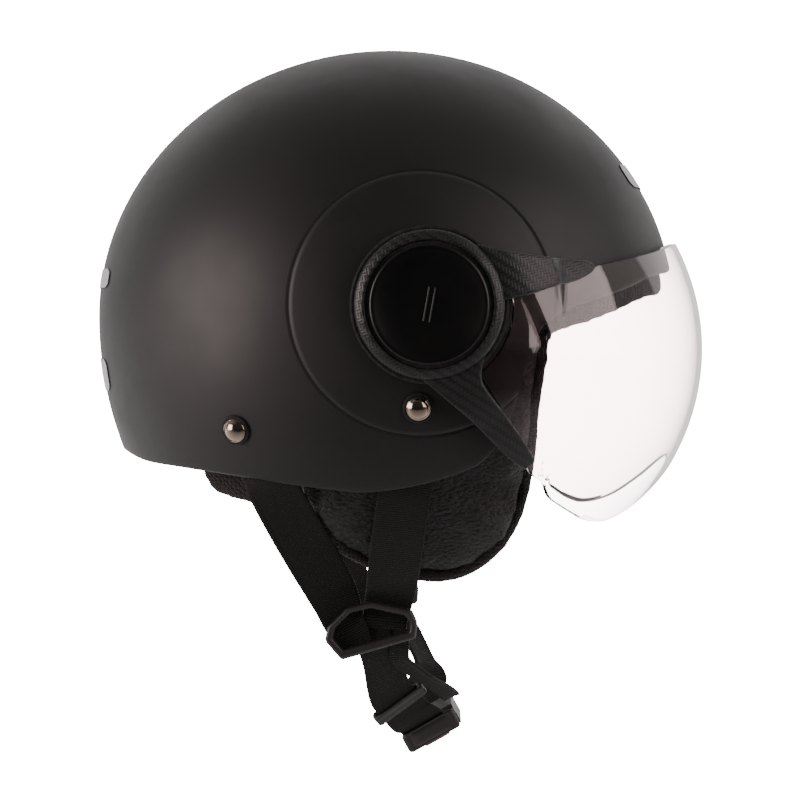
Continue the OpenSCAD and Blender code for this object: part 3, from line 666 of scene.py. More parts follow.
def keep_behind_rim(piece):
    """Cuts away what a round patch has outside the shell's rim, or within a small margin of it."""
    margin = 1.2
    with edited(piece.data) as bm:
        gone = []
        for v in bm.verts:
            p = np.array(v.co) / MM - SHELL_C
            bearing = math.degrees(math.atan2(p[1], p[0]))
            if v.co.z / MM < float(rim_z(bearing)) + margin and abs(bearing) < 100:
                gone.append(v)
        bmesh.ops.delete(bm, geom=gone, context="VERTS")


def build_discs():
    """Raised round panel at each pivot, with a near-black ring round it as painted shade in the crease."""
    hole_r, flat_r = 24, 56.6
    panel = [(r, DISC_LIFT) for r in np.linspace(hole_r, flat_r, 14)]
    for a in np.linspace(0.15, math.pi / 2, 7):
        panel.append((flat_r + 2.2 * math.sin(a), DISC_LIFT - 1.1 * (1 - math.cos(a))))
    panel += [(58.9, 0.3), (DISC_R, -0.8)]
    # a near-black ring laid just over the shell round the panel's edge: painted shade in the crease
    crease_shade = [(58.6, 0.02), (59.4, 0.06), (60.0, 0.06), (60.3, 0.02)]
    for side in SIDES:
        keep_behind_rim(side_patch(f"side_disc_{side}", side, panel, MATERIALS["shell_paint"]))
        keep_behind_rim(side_patch(f"disc_crease_shade_{side}", side, crease_shade, MATERIALS["shade_and_washer_black"]))


# ---- visor -----------------------------------------------------------------
def crease_x(z):
    """Where the crease between the flange and the bubble runs, at a height."""
    z = np.asarray(z, float)
    return 54 + 2 * ease(z, -42, -20) - (z + 42) ** 2 / np.where(z > -42, 170, 400)


def clear_y(r):
    """How far out the lens keeps clear of the shell and the ring, at a distance from the pivot."""
    return 120.6 - 0.3 * (np.minimum(r, 58) - 37) - 2.2 * np.maximum(0, r - 58)


def face_y(x, z, y):
    """The bubble's distance y, stepped in at the flange but never under clear_y."""
    z = np.asarray(z, float)
    spread = 2.5 + 11 * ease(z, -60, -42) * ease(-z, 17, 30)
    step = FLANGE_STEP * (1 - ease((x - crease_x(z)) / spread, -1.2, 0.8)) * ease(40 - z, 0, 30)
    low, clear = y - step, clear_y(np.hypot(x, z))
    blend = 1.5
    return np.maximum(low, clear) + blend * np.log1p(np.exp(-np.abs(low - clear) / blend))


def lens_y(x, z):
    x, z = np.asarray(x, float), np.asarray(z, float)
    v = 1 - (x / LENS_LONG) ** 2 - ((z - LENS_Z) / LENS_HIGH) ** 2
    return face_y(x, z, LENS_HALF_W * np.sqrt(np.maximum(v, 0)))


def lens_point(bearing, z, off):
    """Point of the lens at a bearing, without sign, and a height."""
    b = math.radians(bearing)
    q = math.sqrt(max(0.0, 1 - ((z - LENS_Z) / (LENS_HIGH + off)) ** 2))
    r = q / math.hypot(math.cos(b) / (LENS_LONG + off), math.sin(b) / (LENS_HALF_W + off))
    x, y = r * math.cos(b), r * math.sin(b)
    if bearing > 40:
        y = float(face_y(x, z, y - off)) + off
    return np.array([x, y, z])


def rear_bearing(z):
    x = math.sqrt(LENS_REAR_R ** 2 - z * z)
    y = LENS_HALF_W * math.sqrt(1 - (x / LENS_LONG) ** 2 - ((z - LENS_Z) / LENS_HIGH) ** 2)
    return math.degrees(math.atan2(y, x))


def lens_grid(s, v, off, top, low):
    """Lens point at s, from -1 to 1 round the front, and v, from 0 at the top edge to 1 at the lower."""
    b = abs(s) * rear_bearing(LENS_REAR_TOP + (LENS_REAR_LOW - LENS_REAR_TOP) * v)
    z_top = np.interp(abs(s) * rear_bearing(LENS_REAR_TOP), top[:, 0], top[:, 1])
    z_low = np.interp(abs(s) * rear_bearing(LENS_REAR_LOW), low[:, 0], low[:, 1])
    p = lens_point(b, z_top + (z_low - z_top) * v, off)
    p[1] *= math.copysign(1.0, s)
    return p


def build_lens():
    """Bubble lens with polished cut edges."""
    top, low = curve_through(LENS_TOP, 8), curve_through(LENS_BOTTOM, 8)
    half_cols, tall = 110, 70
    vs = np.linspace(0, 1, tall + 1)
    rows = []
    for i in range(-half_cols, half_cols + 1):
        s = i / half_cols
        column = [lens_grid(s, v, -LENS_T, top, low) for v in vs]
        rows.append(column + [lens_grid(s, v, 0.0, top, low) for v in vs[::-1]])
    cols = len(rows[0])
    verts = [p for row in rows for p in row]
    faces = grid_faces(len(rows), cols, wrap_cols=True)
    for base, order in ((0, 1), ((len(rows) - 1) * cols, -1)):
        for k in range(tall):
            quad = (base + k, base + k + 1, base + cols - 2 - k, base + cols - 1 - k)
            faces.append(quad[::order])
    piece = skin("lens_bubble", verts, faces, MATERIALS["lens"], "visor")
    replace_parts(piece, "visor_lens")
    sharpen(piece)


def arm_faces(x, z):
    """Inner and outer distance of an arm over (x, z)."""
    r = np.hypot(x, z)
    low = (1 - ease(r, 35.2, 38.5)) * (RING_BASE + 0.35) + ease(r, 35.2, 38.5) * (lens_y(x, z) - 0.2)
    high = (1 - ease(r, 32, 62)) * (RING_FACE - 3.0) + ease(r, 32, 62) * (lens_y(x, z) + 0.7 + ARM_T)
    return low, high


UPPER_ARM = [
    ((18, 26.5), (30, 1.5)), ((24, 25.8), (37.5, 2.9)), ((31, 24.3), (43, 4.1)), ((42, 22.6), (50, 6.3)),
    ((52, 21.3), (58, 8.9)), ((62, 20.4), (66, 11.6)), ((70, 19.8), (72, 14)), ((73.6, 18.2), (74.4, 16.6)),
]
LOWER_ARM = [
    ((26, -16), (-8, -29.5)), ((23.2, -27), (0, -35.5)), ((23.6, -34.5), (10, -44)), ((28.6, -42), (18, -51)),
    ((34.6, -50), (25, -58)), ((40.2, -58), (31.4, -64.6)), ((45, -65.6), (38, -70.6)),
    ((47.2, -69.8), (42.6, -73.6)),
]


def strip(name, stations, side):
    """An arm as a rounded bar over its stations, closed by a rounded tip."""
    upper = curve_through([s[0] for s in stations], 8)
    lower = curve_through([s[1] for s in stations], 8)
    edge = 0.9
    rows = []
    for k in range(len(upper)):
        a, b = upper[k], lower[k]
        width = np.linalg.norm(b - a)
        e = min(edge / width, 0.45)
        vs = [0, 0, 0] + [e * (1 - math.cos(t)) for t in np.linspace(0.3, math.pi / 2, 4)]
        hs = [0.0, 0.4, 0.75] + [0.75 + 0.25 * math.sin(t) for t in np.linspace(0.3, math.pi / 2, 4)]
        inner_v = list(np.linspace(e, 1 - e, 12))[1:-1]
        vs_all = vs + inner_v + [1 - v for v in vs[::-1]]
        hs_all = hs + [1.0] * len(inner_v) + hs[::-1]
        row = []
        for v, h in zip(vs_all, hs_all):
            p = a + (b - a) * v
            low, high = arm_faces(p[0], p[1])
            row.append((p[0], SIDES[side] * (low + (high - low) * h), p[1]))
        rows.append(row)
    cols = len(rows[0])
    verts = [p for row in rows for p in row]
    piece = skin(name, verts, tube_faces(len(rows), cols), MATERIALS["carbon"], "visor")
    bevelled(piece, 0.5, 2, 50)


def build_arms():
    """Ring and two arms of each Y-shaped arm."""
    ring = [
        (HUB_R + 0.1, RING_BASE), (HUB_R + 0.1, RING_FACE - 0.9), (28.3, RING_FACE - 0.35), (28.8, RING_FACE),
        (29.6, RING_FACE - 0.25), (31.9, RING_FACE - 1.35), (32.6, RING_FACE - 1.95), (33.0, RING_FACE - 3.0),
        (33.3, RING_BASE + 0.9), (33.3, RING_BASE),
    ]
    # a near-black band at the foot of the ring: painted shade where the ring stands on the arms
    base_shade = [(33.2, RING_BASE + 1.1), (34.3, RING_BASE + 0.9), (34.9, RING_BASE + 0.5), (RING_R, RING_BASE),
            (33.2, RING_BASE)]
    for side in SIDES:
        rim = lathe(f"visor_ring_{side}", ring, MATERIALS["carbon"], "visor", side, 192)
        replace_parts(rim, f"visor_arm_{side}")
        lathe(f"ring_base_shade_{side}", base_shade, MATERIALS["shade_and_washer_black"], "visor", side, 192)
        for label, stations in (("upper", UPPER_ARM), ("lower", LOWER_ARM)):
            strip(f"arm_{label}_{side}", stations, side)


# The cap's dish: radius, depth below the face
CAP_DISH = [(0.02, 2.3), (0.3, 2.3), (5, 2.28), (10, 2.14), (15, 1.79), (19, 1.26), (22, 0.7), (23.6, 0.33),
            (24.4, 0.1), (25.1, 0), (25.8, 0.15), (CAP_R - 0.1, 0.6), (CAP_R, 1.2)]
CAP_STEM_R, CAP_STEM_HOLE_R, CAP_STEM_END = 9.9, 6.2, 127.4


def build_caps():
    """Dished caps with a coin slot of two thin raised lines."""
    under = CAP_BASE + 0.2
    profile = [(r, CAP_FACE - deep) for r, deep in CAP_DISH]
    profile += [(CAP_R, CAP_BASE), (CAP_STEM_R, CAP_BASE), (CAP_STEM_R, CAP_STEM_END),
                (CAP_STEM_HOLE_R, CAP_STEM_END), (CAP_STEM_HOLE_R, under), (0.02, under)]
    for side in SIDES:
        cap = lathe(f"cap_{side}", profile, MATERIALS["cap"], f"cap_{side}", side, 160)
        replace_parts(cap, f"pivot_cap_{side}")
        for k, shift in enumerate((-1.35, 1.35)):
            coin_line(f"coin_slot_{k}_{side}", side, shift)


def coin_line(name, side, shift):
    """One thin raised line of the coin slot, leaning forward at the top."""
    lean, half_long, half_wide, high = math.radians(10), 7.6, 0.42, 0.38
    along = np.array([math.sin(lean), math.cos(lean)])
    across = np.array([along[1], -along[0]])
    radii, depths = zip(*CAP_DISH)
    verts, steps = [], 24
    for t in np.linspace(-1, 1, steps):
        for s, h in ((-1, -0.15), (-0.5, high), (0.5, high), (1, -0.15)):
            p = along * t * half_long + across * (shift + s * half_wide)
            w = CAP_FACE - np.interp(math.hypot(*p), radii, depths) + h
            verts.append((p[0], SIDES[side] * w, p[1]))
    piece = make_mesh(name, verts, grid_faces(steps, 4), MATERIALS["plastic"], f"cap_{side}")


# ---- webbing ---------------------------------------------------------------
WEB_WIDE, WEB_T = 24.0, 1.4


def shell_stop(x, z, run):
    """Webbing stop just inside the shell, lying flat on it."""
    n = shell_normal(x, z)
    return (np.array([x, -shell_y(x, z, -SHELL_WALL - 1.8), z]), unit(np.cross(n, run)), WEB_WIDE)


def stop(point, across, wide=WEB_WIDE):
    return (np.array(point, float), unit(across), wide)


def web_loop():
    """Section of the webbing with rolled edges: (place across from -1 to 1, height)."""
    half_t, rolled_from, rolled = WEB_T / 2, 0.86, 1.22
    face = [(u, half_t * (rolled if abs(u) > rolled_from else 1.0)) for u in np.linspace(-1, 1, 15) * 0.955]
    edge = [(0.99, half_t * 0.7), (1.0, 0.0), (0.99, -half_t * 0.7)]
    return face + edge + [(-u, -h) for u, h in face + edge]


def web(name, stops, body, side="right", steps=8, slack=0.25, seed=1, cupped=0.35):
    """Woven strap through stops of (point, direction across, width), with a little slack and cupping."""
    points = curve_through([s[0] for s in stops], steps)
    across = unit(curve_through([s[1] for s in stops], steps))
    wide = curve_through([[s[2]] for s in stops], steps)[:, 0]
    ahead = unit(np.gradient(points, axis=0))
    across = unit(across - np.sum(across * ahead, -1, keepdims=True) * ahead)
    up = np.cross(across, ahead)
    run = np.concatenate([[0], np.cumsum(np.linalg.norm(np.diff(points, axis=0), axis=1))])
    loop = web_loop()
    verts, uvs = [], []
    for k in range(len(points)):
        for u, h in loop:
            a = u * wide[k] / 2
            wave = slack * noise.noise(Vector((run[k] * 0.06, a * 0.05, seed * 7.3))) * 2
            verts.append(points[k] + across[k] * a + up[k] * (h + wave - cupped * u * u))
            uvs.append((a, run[k]))
    faces = tube_faces(len(points), len(loop))
    piece = make_mesh(name, mirrored(verts, side), faces, MATERIALS["webbing"], body, uvs=uvs)
    outward_faces(piece, merge=False)
    return piece


AHEAD = (1, 0, 0)
CHIN_ACROSS = (0.93, 0, 0.36)
ADJUST_AT = np.array([-14.1, -39.5, -188.6])
ADJUST_DIR = unit([0.47, 0.6, -0.65])
ADJUST_ACROSS = (0.81, 0, 0.59)
BUCKLE_C = np.array([0.3, 0.0, -202.6])
BUCKLE_TILT = math.radians(-29.3)
TIP_ACROSS = (math.cos(BUCKLE_TILT), 0, -math.sin(BUCKLE_TILT))


def in_buckle(x, y, z):
    """A point given in the buckle's own frame."""
    c, s = math.cos(BUCKLE_TILT), math.sin(BUCKLE_TILT)
    return BUCKLE_C + np.array([x * c + z * s, y, -x * s + z * c])


def build_side_straps(side):
    """Front and rear strap from the rivets down behind the slider's bars."""
    run = (-0.1, 0, -1)
    front = [
        shell_stop(-5, -37, run), shell_stop(-5, -46, run), shell_stop(-6.5, -58, run),
        shell_stop(-8.5, -70, run), shell_stop(-10, -80, run),
        stop((-12, -97.5, -90), AHEAD), stop((-14, -91.5, -104), AHEAD),
        stop((-16, -82, -119), AHEAD), stop((-17.3, -73, -128.5), AHEAD, 23.5),
        stop((-18.6, -66.4, -135.5), (1, 0, -0.1), 22.5), stop((-19.8, -65.4, -141.5), (1, 0, -0.15), 21.5),
        stop((-20.4, -66.2, -146), (1, 0, -0.1), 20.5), stop((-20.6, -65.2, -149.2), (1, 0, -0.05), 20),
        stop((-20.6, -62.6, -149.6), (1, 0, -0.05), 20), stop((-20.4, -61, -146.5), (1, 0, -0.05), 20),
    ]
    run = (0.5, -0.2, -0.86)
    rear = [
        shell_stop(-91, -48, run), shell_stop(-87, -56, run), shell_stop(-82, -64, run),
        shell_stop(-76.5, -73, run),
        stop((-71, -95.5, -82), (0.86, -0.25, 0.43)), stop((-63, -88, -98), (0.88, -0.12, 0.43)),
        stop((-54, -78.5, -115), (0.9, 0, 0.43)), stop((-46.3, -70.6, -129.5), (0.86, 0, 0.5), 23.5),
        stop((-43.2, -66.6, -136.8), (0.8, 0, 0.6), 22), stop((-40.6, -65.8, -144), (0.76, 0, 0.65), 20),
        stop((-38, -67, -149.6), (0.72, 0, 0.7), 18.5), stop((-35.4, -66.8, -154.8), (0.75, 0, 0.66), 17),
        stop((-33.4, -65.2, -159.4), (0.8, 0, 0.6), 15),
    ]
    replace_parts(web(f"web_front_{side}", front, "root", side, seed=1), f"front_strap_{side}")
    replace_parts(web(f"web_rear_{side}", rear, "root", side, seed=2), f"rear_strap_{side}")


def bar_loop(name, y0, y1, z0, z1, wide, body):
    """Strap end sewn round a bar that spans y0 to y1 and z0 to z1 of the buckle's frame."""
    gap = 0.85
    y0, y1, z0, z1 = y0 - gap, y1 + gap, z0 - gap, z1 + gap
    ring = round_corners([(y0, z0), (y1, z0), (y1, z1), (y0, z1)], 1.3, 5)
    stops = [(in_buckle(wide[0], y, z), np.array(TIP_ACROSS), wide[1]) for y, z in ring + ring[:1]]
    return web(name, stops, body, steps=2, slack=0.0)


def bar_tack(name, at, across, along, long_mm, body):
    """Dense zigzag stitching in red: a row of short raised threads."""
    across, along = unit(across), unit(along)
    up = np.cross(across, along)
    pitch, half_long, half_wide, lean_by = 0.75, 1.1, 0.24, 0.35
    verts, faces = [], []
    count = int(long_mm / pitch)
    for k in range(count):
        c = at + across * (k - count / 2) * pitch
        lean = along * half_long + across * (lean_by if k % 2 else -lean_by)
        base = len(verts)
        for end, high in ((-1, 0.0), (-0.6, 0.22), (0.6, 0.22), (1, 0.0)):
            for wide in (-half_wide, half_wide):
                verts.append(c + lean * end + across * wide + up * high)
        faces += [(base + 2 * j, base + 2 * j + 1, base + 2 * j + 3, base + 2 * j + 2) for j in range(3)]
        faces.append((base, base + 2, base + 4, base + 6))
        faces.append((base + 7, base + 5, base + 3, base + 1))
        faces.append((base, base + 6, base + 7, base + 1))
    skin(name, verts, faces, MATERIALS["ribbon"], body)


def build_chin_straps():
    right = [
        stop((-26.5, -64.2, -149.5), CHIN_ACROSS, 18), stop((-26, -64.6, -153.5), CHIN_ACROSS, 17),
        stop((-24.6, -63.2, -158), CHIN_ACROSS, 17.5), stop((-21.8, -57, -167), CHIN_ACROSS, 18.5),
        stop(ADJUST_AT - 9.5 * ADJUST_DIR, ADJUST_ACROSS, 21), stop(ADJUST_AT, ADJUST_ACROSS, 21.6),
        stop(ADJUST_AT + 10 * ADJUST_DIR, ADJUST_ACROSS, 22), stop(in_buckle(-3, -29.5, 7.6), TIP_ACROSS, 22),
        stop(in_buckle(-1.9, -26.8, 5.4), TIP_ACROSS, 22), stop(in_buckle(-1.6, -23.6, 3.6), TIP_ACROSS, 22),
    ]
    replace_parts(web("web_chin_right", right, "root", slack=0.1, seed=3, cupped=0.0), "chin_strap_right")
    tail = [
        stop((-13.8, -65, -150), (0.95, -0.2, 0.2), 9.5), stop((-14, -63.4, -158), (0.95, -0.25, 0.2), 9.5),
        stop((-13.4, -59.5, -165), (0.85, -0.5, 0.35), 9), stop((-8.5, -55, -170), (0.6, -0.7, 0.5), 9),
        stop((0, -47.5, -176.2), (0.35, -0.8, 0.55), 8.5), stop((6.8, -38.5, -182.2), (0.3, -0.8, 0.6), 8.5),
        stop((10.6, -30.5, -186.6), (0.3, -0.8, 0.6), 8.5),
    ]
    web("web_tail_right", tail, "root", seed=4, slack=0.5)
    left = [
        stop((-28, 66, -149.2), CHIN_ACROSS, 18), stop((-26.5, 66.4, -152.6), CHIN_ACROSS, 18),
        stop((-22.5, 64.6, -157), (0.9, 0.2, 0.36), 18), stop((-16.5, 62, -162), (0.7, 0.6, 0.3), 17),
        stop((-10.5, 59.4, -167.5), (0.45, 0.85, 0.2), 17), stop((-6, 56.6, -174.5), (0.4, 0.9, 0.2), 17),
        stop((-2, 53.8, -182.5), (0.4, 0.85, 0.25), 18), stop((0.6, 51.4, -189.5), (0.65, 0.55, 0.42), 19),
        stop(in_buckle(1, 49.2, 8.4), TIP_ACROSS, 20), stop(in_buckle(0.2, 46.8, 5.2), TIP_ACROSS, 20),
        stop(in_buckle(0, 43.6, 3.4), TIP_ACROSS, 20),
    ]
    strap = web("web_chin_left", left, "root", seed=5)
    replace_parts(strap, "chin_strap_left")
    unride(strap)
    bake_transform(strap, "root", "tongue", start=(0.0, 0.062, -0.160), end=(0.0, 0.050, -0.193))
    bar_loop("web_loop_right", -24.5, -21.5, -0.5, 2.5, (-1.6, 22), "root")
    bar_loop("web_loop_left", 42, 44.5, -1.6, 1.8, (0, 20.4), "tongue")
    up = unit(in_buckle(0, -0.6, 1) - in_buckle(0, 0, 0))
    bar_tack("tack_right", in_buckle(2.4, -27.9, 7.6), TIP_ACROSS, np.cross(up, TIP_ACROSS), 13, "root")


def unride(piece):
    """Frees a piece so that it can bend between two bodies."""
    piece.parent = None
    if "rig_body" in piece:
        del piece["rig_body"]


# ---- sliders, adjuster and buckle ------------------------------------------
def round_corners(poly, radius, steps):
    """A closed outline with each corner rounded."""
    pts = [np.array(p, float) for p in poly]
    out = []
    n = len(pts)
    for k in range(n):
        a, b, c = pts[k - 1], pts[k], pts[(k + 1) % n]
        r = min(radius, 0.45 * np.linalg.norm(a - b), 0.45 * np.linalg.norm(c - b))
        p, q = b + unit(a - b) * r, b + unit(c - b) * r
        for i in range(steps):
            t = i / (steps - 1)
            out.append(tuple((1 - t) ** 2 * p + 2 * t * (1 - t) * b + t * t * q))
    return out


SLIDER_FRAME = [(-47, -148.5), (-38, -139.5), (-27, -136.5), (-8, -140.5), (-5.5, -146), (-6.2, -153.5),
                (-40.5, -163.5), (-48.2, -154.5)]
SLIDER_WINDOW = [(-43.4, -148.8), (-36.4, -141.8), (-27, -139.6), (-11.2, -143), (-8.9, -146.4),
                 (-9.2, -150.4), (-39.8, -158.8), (-44.4, -153.6)]
SLIDER_IN, SLIDER_OUT = 68.0, 73.5
# Section of the slider's bars: share of the way from the outer outline to the window, distance outward
SLIDER_SECTION = [
    (0, SLIDER_IN + 0.9), (0, SLIDER_OUT - 1.3), (0.18, SLIDER_OUT - 0.25), (0.36, SLIDER_OUT),
    (0.45, SLIDER_OUT - 0.1), (0.72, SLIDER_OUT), (0.88, SLIDER_OUT - 0.35), (1, SLIDER_OUT - 1.4),
    (1, SLIDER_IN + 0.7), (0.85, SLIDER_IN), (0.15, SLIDER_IN),
]


def build_slider(side):
    """Ladder frame: rounded bars with a shallow step along the outside."""
    outer = round_corners(SLIDER_FRAME, 1.5, 6)
    inner = round_corners(SLIDER_WINDOW, 1.0, 6)
    verts = [(x, SIDES[side] * y, z) for t, y in SLIDER_SECTION for x, z in inset(outer, inner, t)]
    faces = grid_faces(len(SLIDER_SECTION), len(outer), True, True)
    piece = skin(f"slider_{side}", verts, faces, MATERIALS["buckle"])
    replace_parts(piece, f"strap_slider_{side}")


def inset(outer, inner, t):
    """Outline a share t of the way from the outer to the inner one."""
    return [tuple((1 - t) * np.array(a) + t * np.array(b)) for a, b in zip(outer, inner)]


def build_adjuster():
    """Keeper that slides on the right chin strap: two rounded bars with a groove between them."""
    u = ADJUST_DIR
    w = unit(np.array(ADJUST_ACROSS) - np.dot(ADJUST_ACROSS, u) * u)
    v = np.cross(u, w)
    outer = round_corners([(-14, -2.5), (14, -2.5), (14, 2.5), (-14, 2.5)], 1.9, 7)
    inner = round_corners([(-11.6, -1.2), (11.6, -1.2), (11.6, 1.2), (-11.6, 1.2)], 0.5, 7)
    small = inset(outer, inner, 0.22)
    loops = [(small, -2.9), (outer, -2.3), (outer, -0.5), (small, 0.0), (outer, 0.5), (outer, 2.3),
             (small, 2.9), (inner, 2.9), (inner, -2.9)]
    verts = [ADJUST_AT + w * a + v * b + u * h for loop, h in loops for a, b in loop]
    faces = grid_faces(len(loops), len(outer), True, True)
    piece = skin("adjuster_keeper", verts, faces, MATERIALS["buckle"], "adjuster")
    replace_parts(piece, "strap_adjuster")


def from_cad(name, node_name, material, body, bevel_mm):
    """A rounded piece over a CAD node's own faces."""
    source = frame["nodes"][node_name]
    mesh = source.data.copy()
    mesh.name = name
    mesh.transform(source.matrix_world)
    mesh.materials.clear()
    mesh.materials.append(material)
    piece = bpy.data.objects.new(name, mesh)
    bpy.context.scene.collection.objects.link(piece)
    with edited(mesh) as bm:
        bmesh.ops.remove_doubles(bm, verts=bm.verts, dist=1e-5)
        bmesh.ops.dissolve_limit(bm, angle_limit=math.radians(1), verts=bm.verts, edges=bm.edges)
    for layer in list(mesh.attributes):
        if layer.name == "custom_normal":
            mesh.attributes.remove(layer)
    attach(piece, body)
    bevelled(piece, bevel_mm, 3, 25)
    shade_smooth(piece.data)
    sharpen(piece)
    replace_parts(piece, node_name)
    return piece


def build_end_plate():
    """Rounded end of the buckle's housing, with a shallow groove inside its edge."""
    outer = round_corners([(-14, -6), (14, -6), (14, 3.6), (-14, 3.6)], 2.4, 8)
    centre = [(0.0, -1.2)] * len(outer)
    steps = [(0.98, -26.3), (0.04, -26.3), (0.0, -26.7), (0.0, -27.4), (0.03, -27.85), (0.1, -28.1),
             (0.2, -28.1), (0.24, -27.85), (0.28, -28.1), (0.6, -28.2), (0.98, -28.2)]
    verts = [in_buckle(a, y, b) for t, y in steps for a, b in inset(outer, centre, t)]
    skin("buckle_end", verts, tube_faces(len(steps), len(outer)), MATERIALS["buckle"])


def cut_end_wall(piece):
    """Takes the plain end wall off the housing, where the rounded end plate goes."""
    at = Vector([float(c) * MM for c in in_buckle(0, -26.36, 0)])
    with edited(piece.data) as bm:
        cut = bmesh.ops.bisect_plane(bm, geom=bm.verts[:] + bm.edges[:] + bm.faces[:], plane_co=at,
                                     plane_no=(0, -1, 0), clear_outer=True)
        bmesh.ops.holes_fill(bm, edges=[e for e in cut["geom_cut"] if isinstance(e, bmesh.types.BMEdge)])


def build_buckle():
    housing = from_cad("buckle_housing", "buckle_body", MATERIALS["buckle"], "root", 0.6)
    cut_end_wall(housing)
    build_end_plate()
    from_cad("buckle_flap", "buckle_lever", MATERIALS["buckle"], "lever", 0.4)
    from_cad("tongue_bar", "ratchet_tongue", MATERIALS["buckle"], "tongue", 0.3)
    from_cad("pull_ribbon", "buckle_pull_tab", MATERIALS["ribbon"], "lever", 0.2)


# ---- pads ------------------------------------------------------------------
def puffed(name, verts, faces, material, slot, fill, voxel_mm, cap_mm, seed=1):
    """A stuffed pad: its cover is remeshed, blown up a little by a cloth simulation and smoothed."""
    piece = make_mesh(name, verts, faces, material)
    outward_faces(piece)
    mod = piece.modifiers.new("even", "REMESH")
    mod.mode = "VOXEL"
    mod.voxel_size = voxel_mm * MM
    apply_modifiers(piece)
    rest = np.array([v.co for v in piece.data.vertices])
    simulate_cover(piece, seed)
    limit_travel(piece, rest, cap_mm * MM)
    mod = piece.modifiers.new("soft", "SMOOTH")
    mod.factor, mod.iterations = 0.5, 3
    mod = piece.modifiers.new("fine", "SUBSURF")
    mod.levels = mod.render_levels = 1
    apply_modifiers(piece)
    shade_smooth(piece.data)
    return piece


def simulate_cover(piece, seed):
    """Blows the cover up with a cloth simulation, from slightly jogged points."""
    rng = random.Random(seed)
    jog_mm, frames = 0.15, 20
    for v in piece.data.vertices:
        v.co += Vector([rng.uniform(-1, 1) for _ in range(3)]) * jog_mm * MM
    cloth = piece.modifiers.new("cover", "CLOTH")
    settings = cloth.settings
    settings.quality = 6
    settings.mass = 0.3
    settings.use_pressure = True
    settings.uniform_pressure_force = 4.0
    settings.tension_stiffness = settings.compression_stiffness = 12
    settings.bending_stiffness = 0.8
    settings.shrink_min = -0.02
    settings.effector_weights.gravity = 0.0
    cloth.point_cache.frame_start, cloth.point_cache.frame_end = 1, frames
    scene = bpy.context.scene
    for k in range(1, frames + 1):
        scene.frame_set(k)
    apply_modifiers(piece)
    scene.frame_set(1)


def limit_travel(piece, rest, cap):
    """Keeps each point within cap of where it was, or leaves the pad as it is if the points changed."""
    now = np.array([v.co for v in piece.data.vertices])
    if now.shape != rest.shape or not np.isfinite(now).all():
        return
    moved = now - rest
    size = np.linalg.norm(moved, axis=1, keepdims=True)
    moved *= np.minimum(1.0, cap / np.maximum(size, 1e-9))
    piece.data.vertices.foreach_set("co", (rest + moved).ravel())
    piece.data.update()


PAD_OUTLINE = [
    (50.3, -16), (46, -44), (44, -68), (41, -88), (33.5, -105), (20, -118.5), (5, -123.5), (-12, -121.5),
    (-28, -116.5), (-44, -105), (-55, -84), (-56, -62), (-48, -50), (-25, -44), (10, -43), (34, -28),
]
PAD_MID, PAD_IN, PAD_OUT = (-2.0, -78.0), 66.0, 92.0
PIPING_START = (51.0, -7.0)
PAD_FREE, PAD_SLOPE = -84.0, 0.55


def pad_limit(x, z, off):
    """How far out a pad may reach: inside the shell, and clear of the straps below its rim."""
    below = max(0.0, PAD_FREE - 6 - z)
    return min(float(shell_y(x, max(z, PAD_FREE), off)), PAD_OUT - PAD_SLOPE * below)


def build_cheek_pad(side):
    """Cushion swelled from sections of its outline, and its edging."""
    fine = curve_through(PAD_OUTLINE, 6, closed=True)
    mid = np.array(PAD_MID)

    def row(y, k):
        q = mid + (fine - mid) * k
        return [(x, SIDES[side] * min(y, pad_limit(x, z, -10.8)), z) for x, z in q]

    rows = [row(PAD_IN + 1, 0.87), row(PAD_IN + 4, 0.98), row(PAD_IN + 10, 1.06), row(PAD_OUT - 7, 1.06),
            row(PAD_OUT - 3, 1.02), row(PAD_OUT - 0.5, 0.92)]
    ends = [np.array([mid[0], SIDES[side] * y, mid[1]]) for y in (PAD_IN + 0.5, PAD_OUT - 0.5)]
    form = poled(ends[0], rows, ends[1])
    pad = puffed(f"cheek_cushion_{side}", *form, MATERIALS["leatherette"], "leatherette", 0.75, 3.4, 1.6, 3)
    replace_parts(pad, f"cheek_pad_{side}")
    build_piping(side)


def build_piping(side):
    """Mesh edging along the pad's visible outline, a little lumpy."""
    path = curve_through([PIPING_START] + PAD_OUTLINE[:11], 14)
    ahead = unit(np.gradient(path, axis=0))
    verts = []
    turns, cord_r, lumps, shift, flat = 14, 3.1, 0.12, -1.4, 1.2
    for k, (p, t) in enumerate(zip(path, ahead)):
        s = np.array([t[1], -t[0]])
        r = cord_r * (1 + lumps * noise.noise(Vector((k * 0.35, 0.0, 4.1))))
        r *= min(1.0, 0.5 + 0.25 * min(k, len(path) - 1 - k))
        for a in np.linspace(0, 2 * math.pi, turns, endpoint=False):
            c = p + s * (r * math.cos(a) + shift)
            y = min(PAD_OUT - 6, pad_limit(c[0], c[1], -12) - 5) + r * flat * math.sin(a)
            verts.append((c[0], SIDES[side] * y, c[1]))
    faces = tube_faces(len(path), turns)
    piece = skin(f"pad_edging_{side}", verts, faces, MATERIALS["mesh"])
    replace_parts(piece, f"cheek_piping_{side}")


